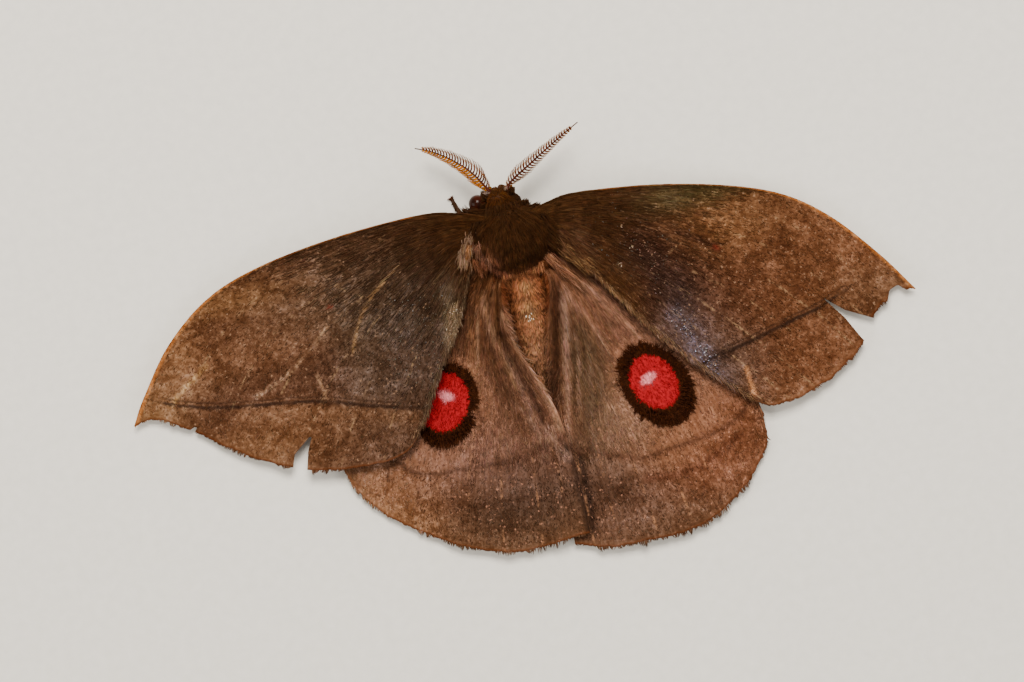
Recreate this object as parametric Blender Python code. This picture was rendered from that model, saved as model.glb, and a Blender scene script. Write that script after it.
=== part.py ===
"""A large brown silk moth with red eyespots, at rest with its wings spread flat, life size.

Sizes below are in millimetres and each mesh is written in metres. Left and right are the
moth's own, seen from above with the head up: left is -X, the head points to +Y, up is +Z.
The moth stands on the plane Z = 0 on its six feet and the underside of its abdomen.
"""

import math
import random

import bmesh
import bpy
from mathutils import Matrix, Vector

MM = 0.001
GAP = 0.3
FLOOR_Z = 0.0

# Cleaning up after a cut: corners closer than this are one, and faces flatter than this merge.
MERGE_DISTANCE = 0.0002
FLAT_ANGLE = math.radians(0.4)

# The solver that stays closed where sheets are thin and where many roots cross.
SOLVER = "MANIFOLD"

# Body: centres and half sizes. The thorax's core carries locks of fur that reach further out.
THORAX_CENTRE = Vector((0.1, -0.9, 5.2))
THORAX_RADII = Vector((3.65, 3.45, 3.45))
HEAD_CENTRE = Vector((-0.6, 3.35, 4.3))
HEAD_RADII = Vector((2.2, 1.6, 1.9))
EYE_RADIUS = 1.15

# How many sides and rings each of those round bodies has.
THORAX_MESH = (24, 16)
HEAD_MESH = (20, 12)
EYE_MESH = (14, 9)

# The head is turned a little to the left, so the left eye sits further forward.
EYE_OFFSETS = {
    "left": Vector((-1.9, 0.55, 0.0)),
    "right": Vector((1.75, 0.05, -0.3)),
}

# Fur locks of the thorax: rows from the collar to the rump, and the size of one lock.
LOCK_ROWS = 8
LOCK_FIRST_ROW = math.radians(24)
LOCK_LAST_ROW = math.radians(146)
LOCK_SPACING = 1.35
LOCK_LENGTH = 2.7
LOCK_HALF_WIDTH = 0.8
LOCK_HALF_THICKNESS = 0.3
LOCK_ROOT_DEPTH = 0.45
LOCK_TIP_HEIGHT = 0.5
LOCK_TIP_SHARE = 0.02
LOCK_LIE = Vector((0.25, -1.0, -0.25))
LOCK_SIDES = 4
LOCK_STEPS = 2
LOCK_LOWEST_Z = 4.6
LOCK_LENGTH_DRAW = (0.8, 1.15)
LOCK_TURN_DRAW = 0.05
LOCK_SEED = 7

# Abdomen: stations from the waist to the tip, each (y, x, z of the centre, radius).
ABDOMEN_STATIONS = [
    (-3.4, 0.4, 4.7, 1.5),
    (-5.0, 0.45, 4.35, 2.0),
    (-7.0, 0.5, 3.9, 2.4),
    (-10.0, 0.6, 3.3, 2.6),
    (-13.0, 0.7, 2.65, 2.5),
    (-16.0, 0.85, 2.1, 2.2),
    (-19.0, 1.0, 1.65, 1.8),
    (-21.5, 1.15, 1.25, 1.35),
    (-23.5, 1.25, 0.95, 0.85),
    (-24.6, 1.3, 0.85, 0.3),
]

# The soft rings between its segments, and its sides and steps.
ABDOMEN_SEGMENTS = 7
ABDOMEN_RING_DEPTH = 0.12
ABDOMEN_RING_FROM = 0.75
ABDOMEN_PLAIN_RADIUS = 0.8
ABDOMEN_SIDES = 16
ABDOMEN_STEPS = 28

# Wings: sheet thickness, the step between stacked sheets, and the heights of their mid-surfaces:
# a level part, a rise at the body, and how far out the slope between them starts and runs.
WING_THICKNESS = 0.5
STACK_STEP = 0.95
FORE_TIP_Z = 1.25
FORE_FLAT_Z = 2.05
FORE_RISE = 3.9
FORE_SLOPE = (3.0, 10.0, 1.5)
FORE_DROOP_X = (24.0, 38.0)
HIND_FLAT_Z = 0.95
HIND_RISE = 3.8
HIND_SLOPE = (2.0, 9.0, 1.8)
HIND_SINK = 0.95
HIND_SINK_Y = (-7.0, -25.0)
LAP_X = (-4.0, -0.6)
LAP_Y = (-10.5, -14.0)

# The hind wings' inner parts lie over the abdomen at this height, from the waist to the tip.
ABDOMEN_COVER = 0.7
COVER_WAIST_Y = (-3.0, -5.5)
COVER_TAIL_Y = (-27.5, -22.5)
COVER_CREASE = 0.6

# Veins: half width and height of the raised ridges, at the root and at the margin, the share of
# the room between veins that a ridge may take, and the cross vein at the end of the cell.
VEIN_HALF_WIDTH = (0.4, 0.22)
VEIN_HEIGHT = (0.28, 0.12)
VEIN_MOST_ROOM = 0.3
CROSS_VEIN_HALF_V = 0.014
CROSS_VEIN_SHARE = 0.8
CELL_VEINS = (0, 4)

# Wing outlines, as points that one smooth curve passes through.
# The costa runs from the root to the apex, the margin from the apex to the hind corner,
# and the inner edge from the root to the hind corner.
FORE_LEFT = {
    "costa": [(-1.6, 1.8), (-5.0, 3.0), (-9.3, 3.7), (-18.4, 3.3), (-27.3, 1.9), (-33.4, -0.3),
              (-38.5, -4.3), (-42.3, -9.3), (-43.9, -12.0)],
    "margin": [(-43.9, -12.0), (-42.2, -11.9), (-40.0, -12.7), (-36.5, -15.0), (-33.9, -17.0),
               (-29.3, -19.5), (-25.1, -21.0), (-20.0, -21.5), (-15.8, -20.9), (-13.4, -18.4)],
    "inner": [(-1.6, -0.8), (-4.6, -2.4), (-7.2, -7.9), (-10.3, -13.0), (-13.4, -18.4)],
}
FORE_RIGHT = {
    "costa": [(1.6, 1.4), (4.5, 2.2), (7.8, 2.6), (15.7, 1.8), (23.3, 0.2), (29.5, -2.1),
              (34.1, -5.5), (38.4, -10.5), (41.5, -15.0)],
    "margin": [(41.5, -15.0), (39.9, -14.6), (38.3, -15.5), (36.6, -17.2), (34.3, -20.2),
               (30.7, -22.6), (26.8, -23.9), (23.8, -24.1), (21.9, -23.1)],
    "inner": [(1.6, -0.8), (5.0, -2.0), (8.7, -7.3), (12.3, -12.8), (16.6, -17.9), (21.9, -23.1)],
}
HIND_LEFT = {
    "costa": [(-1.4, -0.7), (-7.0, -2.9), (-13.0, -7.4), (-18.6, -13.4), (-21.9, -18.5), (-22.8, -21.5)],
    "margin": [(-22.8, -21.5), (-21.4, -24.8), (-18.2, -28.1), (-14.3, -30.9), (-10.0, -33.0),
               (-5.3, -34.1), (-1.3, -33.9), (1.7, -33.4)],
    "inner": [(-1.2, -3.2), (-2.1, -5.6), (-2.2, -8.5), (-1.9, -12.0), (-0.6, -15.5), (1.0, -20.0),
              (1.7, -26.5), (1.7, -33.4)],
}
HIND_RIGHT = {
    "costa": [(1.6, -0.7), (7.5, -2.9), (13.6, -8.0), (18.6, -14.0), (21.6, -20.0), (22.6, -24.5)],
    "margin": [(22.6, -24.5), (22.4, -28.0), (20.3, -31.0), (17.0, -33.8), (12.5, -35.5),
               (6.3, -35.7), (2.5, -35.3), (-0.1, -34.3)],
    "inner": [(1.6, -3.2), (2.9, -5.4), (2.7, -7.6), (1.8, -11.0), (1.0, -15.0), (0.5, -20.0),
              (0.1, -27.0), (-0.1, -34.3)],
}

# Main veins: place across the wing (0 at the costa, 1 at the inner edge) and where each starts.
FORE_CELL_END = 0.45
HIND_CELL_END = 0.41
FORE_VEINS = [(0.15, 0.0), (0.29, FORE_CELL_END), (0.42, FORE_CELL_END), (0.55, FORE_CELL_END),
              (0.68, 0.0), (0.81, 0.0), (0.92, 0.0)]
HIND_VEINS = [(0.13, 0.0), (0.28, HIND_CELL_END), (0.42, HIND_CELL_END), (0.55, HIND_CELL_END),
              (0.68, 0.0), (0.82, 0.0), (0.92, 0.0)]
WING_ROWS = 11

# The room that the locks of fur keep above and below a wing's sheet.
WING_ROOM = 0.45

# Worn edges: the outline of each wedge that is missing from a margin, cut from above the wing.
TEAR_TOP_Z = 4.0
TEARS_FORE_LEFT = [
    [(-28.5, -21.2), (-27.6, -18.6), (-25.2, -16.7), (-26.1, -18.6), (-26.9, -21.6)],
    [(-38.4, -14.6), (-38.1, -13.7), (-37.1, -13.2), (-37.7, -14.1), (-37.8, -15.0)],
]
TEARS_FORE_RIGHT = [
    [(37.9, -18.9), (36.3, -17.1), (33.6, -15.7), (31.4, -13.8), (33.4, -16.5), (34.8, -19.2),
     (36.6, -20.4)],
    [(42.0, -16.6), (40.8, -15.2), (39.7, -14.2), (38.7, -14.6), (38.2, -15.9), (38.4, -17.4)],
]

# Antennae: the shaft from the brow to the tip, and the teeth of the combs on both its sides.
ANTENNAE = {
    "left": [(-0.95, 4.0, 4.8), (-1.7, 5.4, 5.3), (-2.9, 7.2, 5.2), (-4.7, 8.9, 4.9),
             (-6.5, 10.1, 4.5), (-8.1, 10.8, 4.2)],
    "right": [(0.15, 4.0, 4.8), (1.3, 5.2, 5.3), (3.3, 6.4, 5.4), (5.5, 7.7, 5.3),
              (7.6, 8.9, 5.1), (9.5, 9.9, 4.9)],
}
ANTENNA_SHAFT_RADII = (0.34, 0.25)
ANTENNA_STEPS = 12
COMB_TEETH = 12
COMB_SPAN = (0.17, 0.93)
COMB_LENGTH = 1.6
COMB_RISE = (-0.05, 0.3)
COMB_FALL = (1.12, 0.6)
COMB_LEAN = math.radians(58)
COMB_STAGGER = 0.006
COMB_DROOP = 0.12
COMB_SIDES = 4
COMB_RADII = (0.26, 0.1)

# Legs: points from inside the thorax to the foot, and the radii at those points.
FOOT_Z = 0.24
LEG_STEPS = 14
LEG_RADII = [0.55, 0.6, 0.42, 0.45, 0.32, 0.34, 0.32, 0.25]
LEGS = {
    "leg_fore_left": [(-1.6, 1.2, 3.4), (-3.0, 1.4, 2.5), (-4.3, 0.8, 2.6), (-4.7, 1.9, 1.4),
                      (-4.8, 2.9, 0.5), (-5.0, 3.6, FOOT_Z), (-5.2, 4.3, FOOT_Z), (-5.5, 5.0, FOOT_Z)],
    "leg_fore_right": [(1.7, 1.2, 3.4), (3.1, 1.2, 2.5), (4.5, 0.4, 2.6), (5.0, -0.1, 1.5),
                       (5.4, -0.5, 0.5), (5.9, 0.0, FOOT_Z), (6.3, 0.5, FOOT_Z), (6.7, 1.1, FOOT_Z)],
    "leg_mid_left": [(-1.9, -0.9, 3.3), (-3.6, -1.2, 2.4), (-5.4, -1.5, 2.5), (-6.6, -2.0, 1.5),
                     (-7.6, -2.5, 0.5), (-8.4, -2.8, FOOT_Z), (-9.2, -3.1, FOOT_Z), (-10.0, -3.4, FOOT_Z)],
    "leg_mid_right": [(2.1, -0.9, 3.3), (3.8, -1.6, 2.4), (5.6, -2.0, 2.5), (6.8, -2.6, 1.5),
                      (7.8, -3.2, 0.5), (8.6, -3.6, FOOT_Z), (9.4, -3.9, FOOT_Z), (10.2, -4.2, FOOT_Z)],
    "leg_hind_left": [(-1.7, -2.6, 3.4), (-3.2, -4.2, 2.2), (-4.6, -6.0, 2.1), (-5.3, -7.6, 1.3),
                      (-6.0, -9.2, 0.5), (-6.5, -10.3, FOOT_Z), (-6.9, -11.3, FOOT_Z),
                      (-7.3, -12.3, FOOT_Z)],
    "leg_hind_right": [(1.9, -2.6, 3.4), (3.6, -4.2, 2.2), (5.2, -5.8, 2.1), (6.0, -7.4, 1.3),
                       (6.8, -9.0, 0.5), (7.4, -10.0, FOOT_Z), (7.9, -11.0, FOOT_Z), (8.4, -12.0, FOOT_Z)],
}

# Palps: root and tip of each from the head's middle line, and the radii along it.
PALP_ROOT = Vector((0.55, 4.4, 3.3))
PALP_TIP = Vector((0.75, 5.3, 2.9))
PALP_RADII = [0.38, 0.42, 0.34, 0.19]


def clear_scene():
    """Removes whatever the file opens with."""
    for old in list(bpy.data.objects):
        bpy.data.objects.remove(old)


def new_collection(name):
    made = bpy.data.collections.new(name)
    bpy.context.scene.collection.children.link(made)
    return made


def plain_material(name, colour, roughness):
    """A matt or glossy material in the part's colour."""
    material = bpy.data.materials.new(name)
    material.use_nodes = True
    shader = material.node_tree.nodes["Principled BSDF"]
    shader.inputs["Base Color"].default_value = (*colour, 1.0)
    shader.inputs["Roughness"].default_value = roughness
    return material


def add_mesh_object(name, shape, material, collection, origin=(0.0, 0.0, 0.0)):
    """An object from a bmesh in millimetres, with its own origin at the given point."""
    origin = Vector(origin)
    bmesh.ops.recalc_face_normals(shape, faces=shape.faces)
    shape.transform(Matrix.Scale(MM, 4) @ Matrix.Translation(-origin))
    mesh = bpy.data.meshes.new(name)
    shape.to_mesh(mesh)
    shape.free()
    made = bpy.data.objects.new(name, mesh)
    made.location = origin * MM
    mesh.materials.append(material)
    collection.objects.link(made)
    return made


def smooth_line(points):
    """A function of 0 to 1 that runs through the points on one smooth curve, at even pace."""
    nodes = [Vector(p) for p in points]
    ahead = [2 * nodes[0] - nodes[1]] + nodes + [2 * nodes[-1] - nodes[-2]]
    lengths = [0.0]
    for before, after in zip(nodes, nodes[1:]):
        lengths.append(lengths[-1] + (after - before).length)

    def at(t):
        reach = max(0.0, min(1.0, t)) * lengths[-1]
        k = 0
        while k < len(nodes) - 2 and reach > lengths[k + 1]:
            k += 1
        s = (reach - lengths[k]) / (lengths[k + 1] - lengths[k])
        a, b, c, d = ahead[k:k + 4]
        return 0.5 * (2 * b + (c - a) * s + (2 * a - 5 * b + 4 * c - d) * s * s
                      + (3 * b - 3 * c + d - a) * s ** 3)

    return at


def smooth_step(low, high, value):
    """Rises smoothly from 0 at the first limit to 1 at the second."""
    s = max(0.0, min(1.0, (value - low) / (high - low)))
    return s * s * (3 - 2 * s)


def between(ends, share):
    """The value at a share of the way from the first of two to the second."""
    return ends[0] + (ends[1] - ends[0]) * share


def softer_max(a, b, width):
    """The larger of two heights, with the crease between them rounded."""
    h = max(0.0, min(1.0, 0.5 + 0.5 * (a - b) / width))
    return b + (a - b) * h + width * h * (1 - h)


def abdomen_at(y):
    """The abdomen's centre x, centre z and radius at a place along the body."""
    stations = ABDOMEN_STATIONS
    if y >= stations[0][0]:
        return stations[0][1:]
    for near, far in zip(stations, stations[1:]):
        if y >= far[0]:
            s = (y - near[0]) / (far[0] - near[0])
            return tuple(n + (f - n) * s for n, f in zip(near[1:], far[1:]))
    return stations[-1][1:]


def over_abdomen(x, y):
    """The height of a sheet that lies over the abdomen."""
    centre_x, centre_z, radius = abdomen_at(y)
    reach = radius + ABDOMEN_COVER
    turn = min(abs(x - centre_x) / reach, math.pi)
    fade = smooth_step(*COVER_WAIST_Y, y) * smooth_step(*COVER_TAIL_Y, y)
    return (centre_z + reach * math.cos(turn)) * fade


def slope(x, start, width, power):
    """Falls from 1 at the body to 0 far out, from a start and over a width."""
    return math.exp(-((max(abs(x) - start, 0.0) / width) ** power))


def hind_height(x, y):
    """Mid-surface of a hind wing, which sinks to the floor behind the body."""
    sheet = HIND_FLAT_Z + HIND_RISE * slope(x, *HIND_SLOPE)
    sheet -= HIND_RISE * HIND_SINK * smooth_step(*HIND_SINK_Y, y) * slope(x, 0.0, HIND_SLOPE[1], 2.0)
    return softer_max(max(sheet, HIND_FLAT_Z), over_abdomen(x, y), COVER_CREASE)


def hind_left_height(x, y):
    """The left hind wing climbs onto the right one behind the abdomen."""
    return hind_height(x, y) + STACK_STEP * smooth_step(*LAP_X, x) * smooth_step(*LAP_Y, y)


def fore_height(x, y):
    """Mid-surface of a forewing, which lies over the hind wing and droops to the tip."""
    sheet = FORE_FLAT_Z + FORE_RISE * slope(x, *FORE_SLOPE)
    return sheet - (FORE_FLAT_Z - FORE_TIP_Z) * smooth_step(*FORE_DROOP_X, abs(x))


# Each wing: its outline, its veins, the end of its cell, its height and its tears.
WINGS = {
    "forewing_left": (FORE_LEFT, FORE_VEINS, FORE_CELL_END, fore_height, TEARS_FORE_LEFT),
    "forewing_right": (FORE_RIGHT, FORE_VEINS, FORE_CELL_END, fore_height, TEARS_FORE_RIGHT),
    "hindwing_left": (HIND_LEFT, HIND_VEINS, HIND_CELL_END, hind_left_height, []),
    "hindwing_right": (HIND_RIGHT, HIND_VEINS, HIND_CELL_END, hind_height, []),
}


def wing_patch(outline):
    """Blends the four edges of a wing into places (u across, v outwards)."""
    costa, margin, inner = (smooth_line(outline[key]) for key in ("costa", "margin", "inner"))
    root_front, root_back = costa(0.0), inner(0.0)
    apex, corner = costa(1.0), inner(1.0)

    def place(u, v):
        root = root_front.lerp(root_back, u)
        edges = costa(v) * (1 - u) + inner(v) * u + root * (1 - v) + margin(u) * v
        corners = (root_front * (1 - u) * (1 - v) + root_back * u * (1 - v)
                   + apex * (1 - u) * v + corner * u * v)
        return edges - corners

    return place


def vein_columns(veins):
    """Columns of the wing grid: (place, side, start), where side 0 is a vein's crest."""
    columns = [(0.0, 0, 0.0), (0.0, 1, 0.0)]
    for place, start in veins:
        columns += [(place, -1, start), (place, 0, start), (place, 1, start)]
    return columns + [(1.0, None, 0.0)]


def vein_rows(cell_end):
    """Rows of the wing grid, with three close rows that carry the cross vein."""
    even = [k / WING_ROWS for k in range(WING_ROWS + 1)]
    apart = [v for v in even if abs(v - cell_end) > 2 * CROSS_VEIN_HALF_V]
    return sorted(apart + [cell_end - CROSS_VEIN_HALF_V, cell_end, cell_end + CROSS_VEIN_HALF_V])


def ridge_height(column, v, veins, cell_end):
    """How far a vein or the cross vein stands up at a column and a place along the wing."""
    across, side, start = column
    crest = between(VEIN_HEIGHT, v)
    ridge = crest if side == 0 and v >= start else 0.0
    first, last = (veins[k][0] for k in CELL_VEINS)
    if v == cell_end and first <= across <= last:
        ridge = max(ridge, crest * CROSS_VEIN_SHARE)
    return ridge


def build_wing(name, outline, veins, cell_end, height, material, collection, grow=0.0):
    """A closed sheet over a grid of columns along the veins and rows across them."""
    place = wing_patch(outline)
    columns, rows = vein_columns(veins), vein_rows(cell_end)
    tightest = VEIN_MOST_ROOM * min(b[0] - a[0] for a, b in zip(veins, veins[1:]))

    def cell_of(vert):
        return round((vert.co.x + 0.5) * (len(columns) - 1)), round((vert.co.y + 0.5) * (len(rows) - 1))

    shape = bmesh.new()
    bmesh.ops.create_grid(shape, x_segments=len(columns) - 1, y_segments=len(rows) - 1, size=0.5)
    bmesh.ops.triangulate(shape, faces=shape.faces)
    over = {cell_of(vert): vert for vert in shape.verts}
    made = bmesh.ops.extrude_face_region(shape, geom=shape.faces[:], use_keep_orig=True)
    under = {cell_of(vert): vert for vert in made["geom"] if isinstance(vert, bmesh.types.BMVert)}
    for (i, j), upper in over.items():
        across, side, _ = columns[i]
        v = rows[j]
        chord = (place(0.0, v) - place(1.0, v)).length
        half = min(between(VEIN_HALF_WIDTH, v) / chord, tightest)
        spot = place(across + (side or 0) * half, v)
        z = height(spot.x, spot.y)
        ridge = ridge_height(columns[i], v, veins, cell_end)
        upper.co = (spot.x, spot.y, z + WING_THICKNESS / 2 + ridge + grow)
        under[i, j].co = (spot.x, spot.y, z - WING_THICKNESS / 2 - grow)
    root = place(0.5, 0.0)
    return add_mesh_object(name, shape, material, collection, (root.x, root.y, height(root.x, root.y)))


def add_ellipsoid(name, centre, radii, material, collection, grow, segments, rings):
    shape = bmesh.new()
    bmesh.ops.create_uvsphere(shape, u_segments=segments, v_segments=rings, radius=1.0)
    size = Vector(radii) + Vector((grow, grow, grow))
    shape.transform(Matrix.Translation(centre) @ Matrix.Diagonal((*size, 1.0)))
    return add_mesh_object(name, shape, material, collection, centre)


def add_tube(name, points, radii, material, collection, resolution=2):
    """A mesh tube of changing thickness along a smooth line, from a bevelled curve with caps."""
    line = bpy.data.curves.new(name, "CURVE")
    line.dimensions = "3D"
    line.bevel_depth = MM
    line.bevel_resolution = resolution
    line.use_fill_caps = True
    spline = line.splines.new("POLY")
    spline.points.add(len(points) - 1)
    for knot, spot, radius in zip(spline.points, points, radii):
        knot.co = (*(Vector(spot) * MM), 1.0)
        knot.radius = radius
    source = bpy.data.objects.new(name + "_line", line)
    bpy.context.scene.collection.objects.link(source)
    bpy.context.view_layer.update()
    graph = bpy.context.evaluated_depsgraph_get()
    mesh = bpy.data.meshes.new_from_object(source.evaluated_get(graph))
    bpy.data.objects.remove(source)
    shape = bmesh.new()
    shape.from_mesh(mesh)
    bmesh.ops.remove_doubles(shape, verts=shape.verts, dist=1e-6)
    shape.transform(Matrix.Scale(1 / MM, 4))
    bpy.data.meshes.remove(mesh)
    return add_mesh_object(name, shape, material, collection, points[0])


def add_prism(name, outline, bottom, top, material, collection):
    """An upright cutter over a flat outline."""
    shape = bmesh.new()
    ring = [shape.verts.new((x, y, bottom)) for x, y in outline]
    base = shape.faces.new(ring)
    raised = bmesh.ops.extrude_face_region(shape, geom=[base], use_keep_orig=True)
    for item in raised["geom"]:
        if isinstance(item, bmesh.types.BMVert):
            item.co.z = top
    bmesh.ops.triangulate(shape, faces=shape.faces)
    return add_mesh_object(name, shape, material, collection)


def apply_all(target):
    """Makes the target's modifiers real and keeps its largest closed surface."""
    bpy.context.view_layer.update()
    graph = bpy.context.evaluated_depsgraph_get()
    mesh = bpy.data.meshes.new_from_object(target.evaluated_get(graph))
    target.modifiers.clear()
    target.data = mesh
    keep_largest(target)


def cut(target, *cutters):
    """Takes each cutter out of the target."""
    for cutter in cutters:
        step = target.modifiers.new(cutter.name, "BOOLEAN")
        step.operation = "DIFFERENCE"
        step.solver = SOLVER
        step.object = cutter
    apply_all(target)


def shell_of(seed):
    """All faces that share edges with the seed, directly or through others."""
    found, waiting = {seed}, [seed]
    while waiting:
        for edge in waiting.pop().edges:
            for face in edge.link_faces:
                if face not in found:
                    found.add(face)
                    waiting.append(face)
    return found


def keep_largest(target):
    """Drops loose scraps and merges flat neighbours, which keeps the triangles few."""
    shape = bmesh.new()
    shape.from_mesh(target.data)
    left, shells = set(shape.faces), []
    while left:
        shell = shell_of(next(iter(left)))
        shells.append(shell)
        left -= shell
    shells.sort(key=lambda shell: sum(face.calc_area() for face in shell))
    spare = [face for shell in shells[:-1] for face in shell]
    bmesh.ops.delete(shape, geom=spare, context="FACES")
    bmesh.ops.remove_doubles(shape, verts=shape.verts, dist=MERGE_DISTANCE * MM)
    bmesh.ops.dissolve_limit(shape, angle_limit=FLAT_ANGLE, verts=shape.verts, edges=shape.edges)
    bmesh.ops.triangulate(shape, faces=shape.faces)
    shape.to_mesh(target.data)
    shape.free()


def cut_at_floor(target):
    """Cuts the target level with the floor, which leaves a flat to stand on."""
    shape = bmesh.new()
    shape.from_mesh(target.data)
    floor = target.matrix_basis.inverted() @ Vector((0.0, 0.0, FLOOR_Z * MM))
    everything = shape.verts[:] + shape.edges[:] + shape.faces[:]
    sliced = bmesh.ops.bisect_plane(shape, geom=everything, plane_co=floor, plane_no=(0, 0, -1),
                                    dist=1e-8, clear_outer=True)
    rim = [item for item in sliced["geom_cut"] if isinstance(item, bmesh.types.BMEdge)]
    bmesh.ops.holes_fill(shape, edges=rim)
    bmesh.ops.triangulate(shape, faces=shape.faces)
    shape.to_mesh(target.data)
    shape.free()


def unit_column(sides, steps):
    """A closed column of radius 1 and height 1, in rings that a loft can place."""
    shape = bmesh.new()
    bmesh.ops.create_cone(shape, cap_ends=True, segments=sides, radius1=1.0, radius2=1.0, depth=1.0)
    along = [edge for edge in shape.edges if abs(edge.verts[0].co.z - edge.verts[1].co.z) > 0.5]
    bmesh.ops.subdivide_edges(shape, edges=along, cuts=steps - 1)
    return shape


def build_abdomen(name, material, collection, grow=0.0):
    """A tapering body of soft rings, lofted through its stations."""
    ends = (ABDOMEN_STATIONS[0][0], ABDOMEN_STATIONS[-1][0])
    shape = unit_column(ABDOMEN_SIDES, ABDOMEN_STEPS)
    for vert in shape.verts:
        share = vert.co.z + 0.5
        y = between(ends, share)
        centre_x, centre_z, radius = abdomen_at(y)
        if radius > ABDOMEN_PLAIN_RADIUS:
            phase = share * ABDOMEN_SEGMENTS % 1.0
            radius -= ABDOMEN_RING_DEPTH * smooth_step(ABDOMEN_RING_FROM, 1.0, phase)
        radius += grow
        vert.co = (centre_x + vert.co.x * radius, y, centre_z + vert.co.y * radius)
    centre_x, centre_z, _ = abdomen_at(ends[0])
    return add_mesh_object(name, shape, material, collection, (centre_x, ends[0], centre_z))


def fuse(target, pieces):
    """Joins a collection of closed pieces to the target, and removes the pieces."""
    step = target.modifiers.new("join", "BOOLEAN")
    step.operation = "UNION"
    step.solver = SOLVER
    step.operand_type = "COLLECTION"
    step.collection = pieces
    apply_all(target)
    for piece in list(pieces.objects):
        bpy.data.objects.remove(piece)
    bpy.data.collections.remove(pieces)


def build_antenna(name, line, material, collection, neighbours):
    """A shaft with a comb of tapered teeth on each side, leaning towards the tip."""
    at = smooth_line(line)
    shares = [k / ANTENNA_STEPS for k in range(ANTENNA_STEPS + 1)]
    radii = [between(ANTENNA_SHAFT_RADII, share) for share in shares]
    shaft = add_tube(name, [at(share) for share in shares], radii, material, collection, 1)
    cut(shaft, *neighbours)
    teeth = new_collection(name + "_teeth")
    for k in range(COMB_TEETH):
        t = between(COMB_SPAN, k / (COMB_TEETH - 1))
        ahead = (at(t + COMB_STAGGER) - at(t - COMB_STAGGER)).normalized()
        out = ahead.cross(Vector((0, 0, 1))).normalized()
        length = COMB_LENGTH * smooth_step(*COMB_RISE, t) * smooth_step(*COMB_FALL, t)
        for side in (-1, 1):
            lie = ahead * math.cos(COMB_LEAN) + out * side * math.sin(COMB_LEAN)
            lie.z -= COMB_DROOP
            shape = bmesh.new()
            bmesh.ops.create_cone(shape, cap_ends=True, segments=COMB_SIDES, radius1=COMB_RADII[0],
                                  radius2=COMB_RADII[1], depth=length)
            turn = lie.to_track_quat("Z", "Y").to_matrix().to_4x4()
            middle = at(t + side * COMB_STAGGER) + lie.normalized() * length / 2
            shape.transform(Matrix.Translation(middle) @ turn)
            bmesh.ops.triangulate(shape, faces=shape.faces)
            add_mesh_object(f"{name}_tooth_{k}_{side}", shape, material, teeth)
    fuse(shaft, teeth)


def over_thorax(direction, height):
    """The point in a direction from the thorax's centre, at a height over its core."""
    reach = [part / (radius + height) for part, radius in zip(direction, THORAX_RADII)]
    return THORAX_CENTRE + direction / math.sqrt(sum(part * part for part in reach))


def add_lock(name, direction, length, material, collection):
    """One flat, tapered lock that is rooted in the thorax and lies back along it."""
    root = over_thorax(direction, 0.0)
    normal = Vector([part / radius ** 2 for part, radius in zip(root - THORAX_CENTRE, THORAX_RADII)])
    normal.normalize()
    lie = Vector((LOCK_LIE.x * normal.x, LOCK_LIE.y, LOCK_LIE.z))
    lie = (lie - normal * lie.dot(normal)).normalized()
    across = lie.cross(normal)
    shape = unit_column(LOCK_SIDES, LOCK_STEPS)
    for vert in shape.verts:
        t = vert.co.z + 0.5
        height = between((-LOCK_ROOT_DEPTH, LOCK_TIP_HEIGHT), t)
        spot = over_thorax((root + lie * length * t - THORAX_CENTRE).normalized(), height)
        taper = math.sqrt(between((1.0, LOCK_TIP_SHARE), t))
        vert.co = (spot + across * vert.co.x * LOCK_HALF_WIDTH * taper
                   + normal * vert.co.y * LOCK_HALF_THICKNESS * taper)
    bmesh.ops.triangulate(shape, faces=shape.faces)
    return add_mesh_object(name, shape, material, collection)


def add_thorax_locks(thorax, material, neighbours):
    """Rows of locks over the thorax where they are above the legs, cut clear of its neighbours."""
    draw = random.Random(LOCK_SEED)
    collection = new_collection("locks")
    for row in range(LOCK_ROWS):
        polar = between((LOCK_FIRST_ROW, LOCK_LAST_ROW), row / (LOCK_ROWS - 1))
        count = round(math.pi * THORAX_RADII.x * math.sin(polar) / LOCK_SPACING)
        for k in range(count + 1):
            turn = draw.uniform(-LOCK_TURN_DRAW, LOCK_TURN_DRAW)
            around = math.pi * (k + 0.5 * (row % 2)) / count + turn
            direction = Vector((math.cos(around) * math.sin(polar), math.cos(polar),
                                math.sin(around) * math.sin(polar)))
            if over_thorax(direction, 0.0).z > LOCK_LOWEST_Z:
                length = LOCK_LENGTH * draw.uniform(*LOCK_LENGTH_DRAW)
                lock = add_lock(f"lock_{row}_{k}", direction, length, material, collection)
                cut(lock, *neighbours)
    fuse(thorax, collection)


def ground_origin(root):
    """Moves the whole moth so that the middle of its outline stands over the origin."""
    bpy.context.view_layer.update()
    corners = [part.matrix_world @ v.co for part in root.children for v in part.data.vertices]
    for axis in (0, 1):
        low = min(c[axis] for c in corners)
        high = max(c[axis] for c in corners)
        root.location[axis] -= (low + high) / 2


def build_head(material, eye_material, moth, cutters, thorax_room):
    """The head with an eye let into each side, and the room that its neighbours leave it."""
    rooms = []
    for side, offset in EYE_OFFSETS.items():
        centre, size = HEAD_CENTRE + offset, (EYE_RADIUS,) * 3
        eye = add_ellipsoid("eye_" + side, centre, size, eye_material, moth, 0.0, *EYE_MESH)
        cut(eye, thorax_room)
        rooms.append(add_ellipsoid("eye_room_" + side, centre, size, eye_material, cutters, GAP, *EYE_MESH))
    head = add_ellipsoid("head", HEAD_CENTRE, HEAD_RADII, material, moth, 0.0, *HEAD_MESH)
    cut(head, thorax_room, *rooms)
    rooms.append(add_ellipsoid("head_room", HEAD_CENTRE, HEAD_RADII, material, cutters, GAP, *HEAD_MESH))
    return rooms


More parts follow.
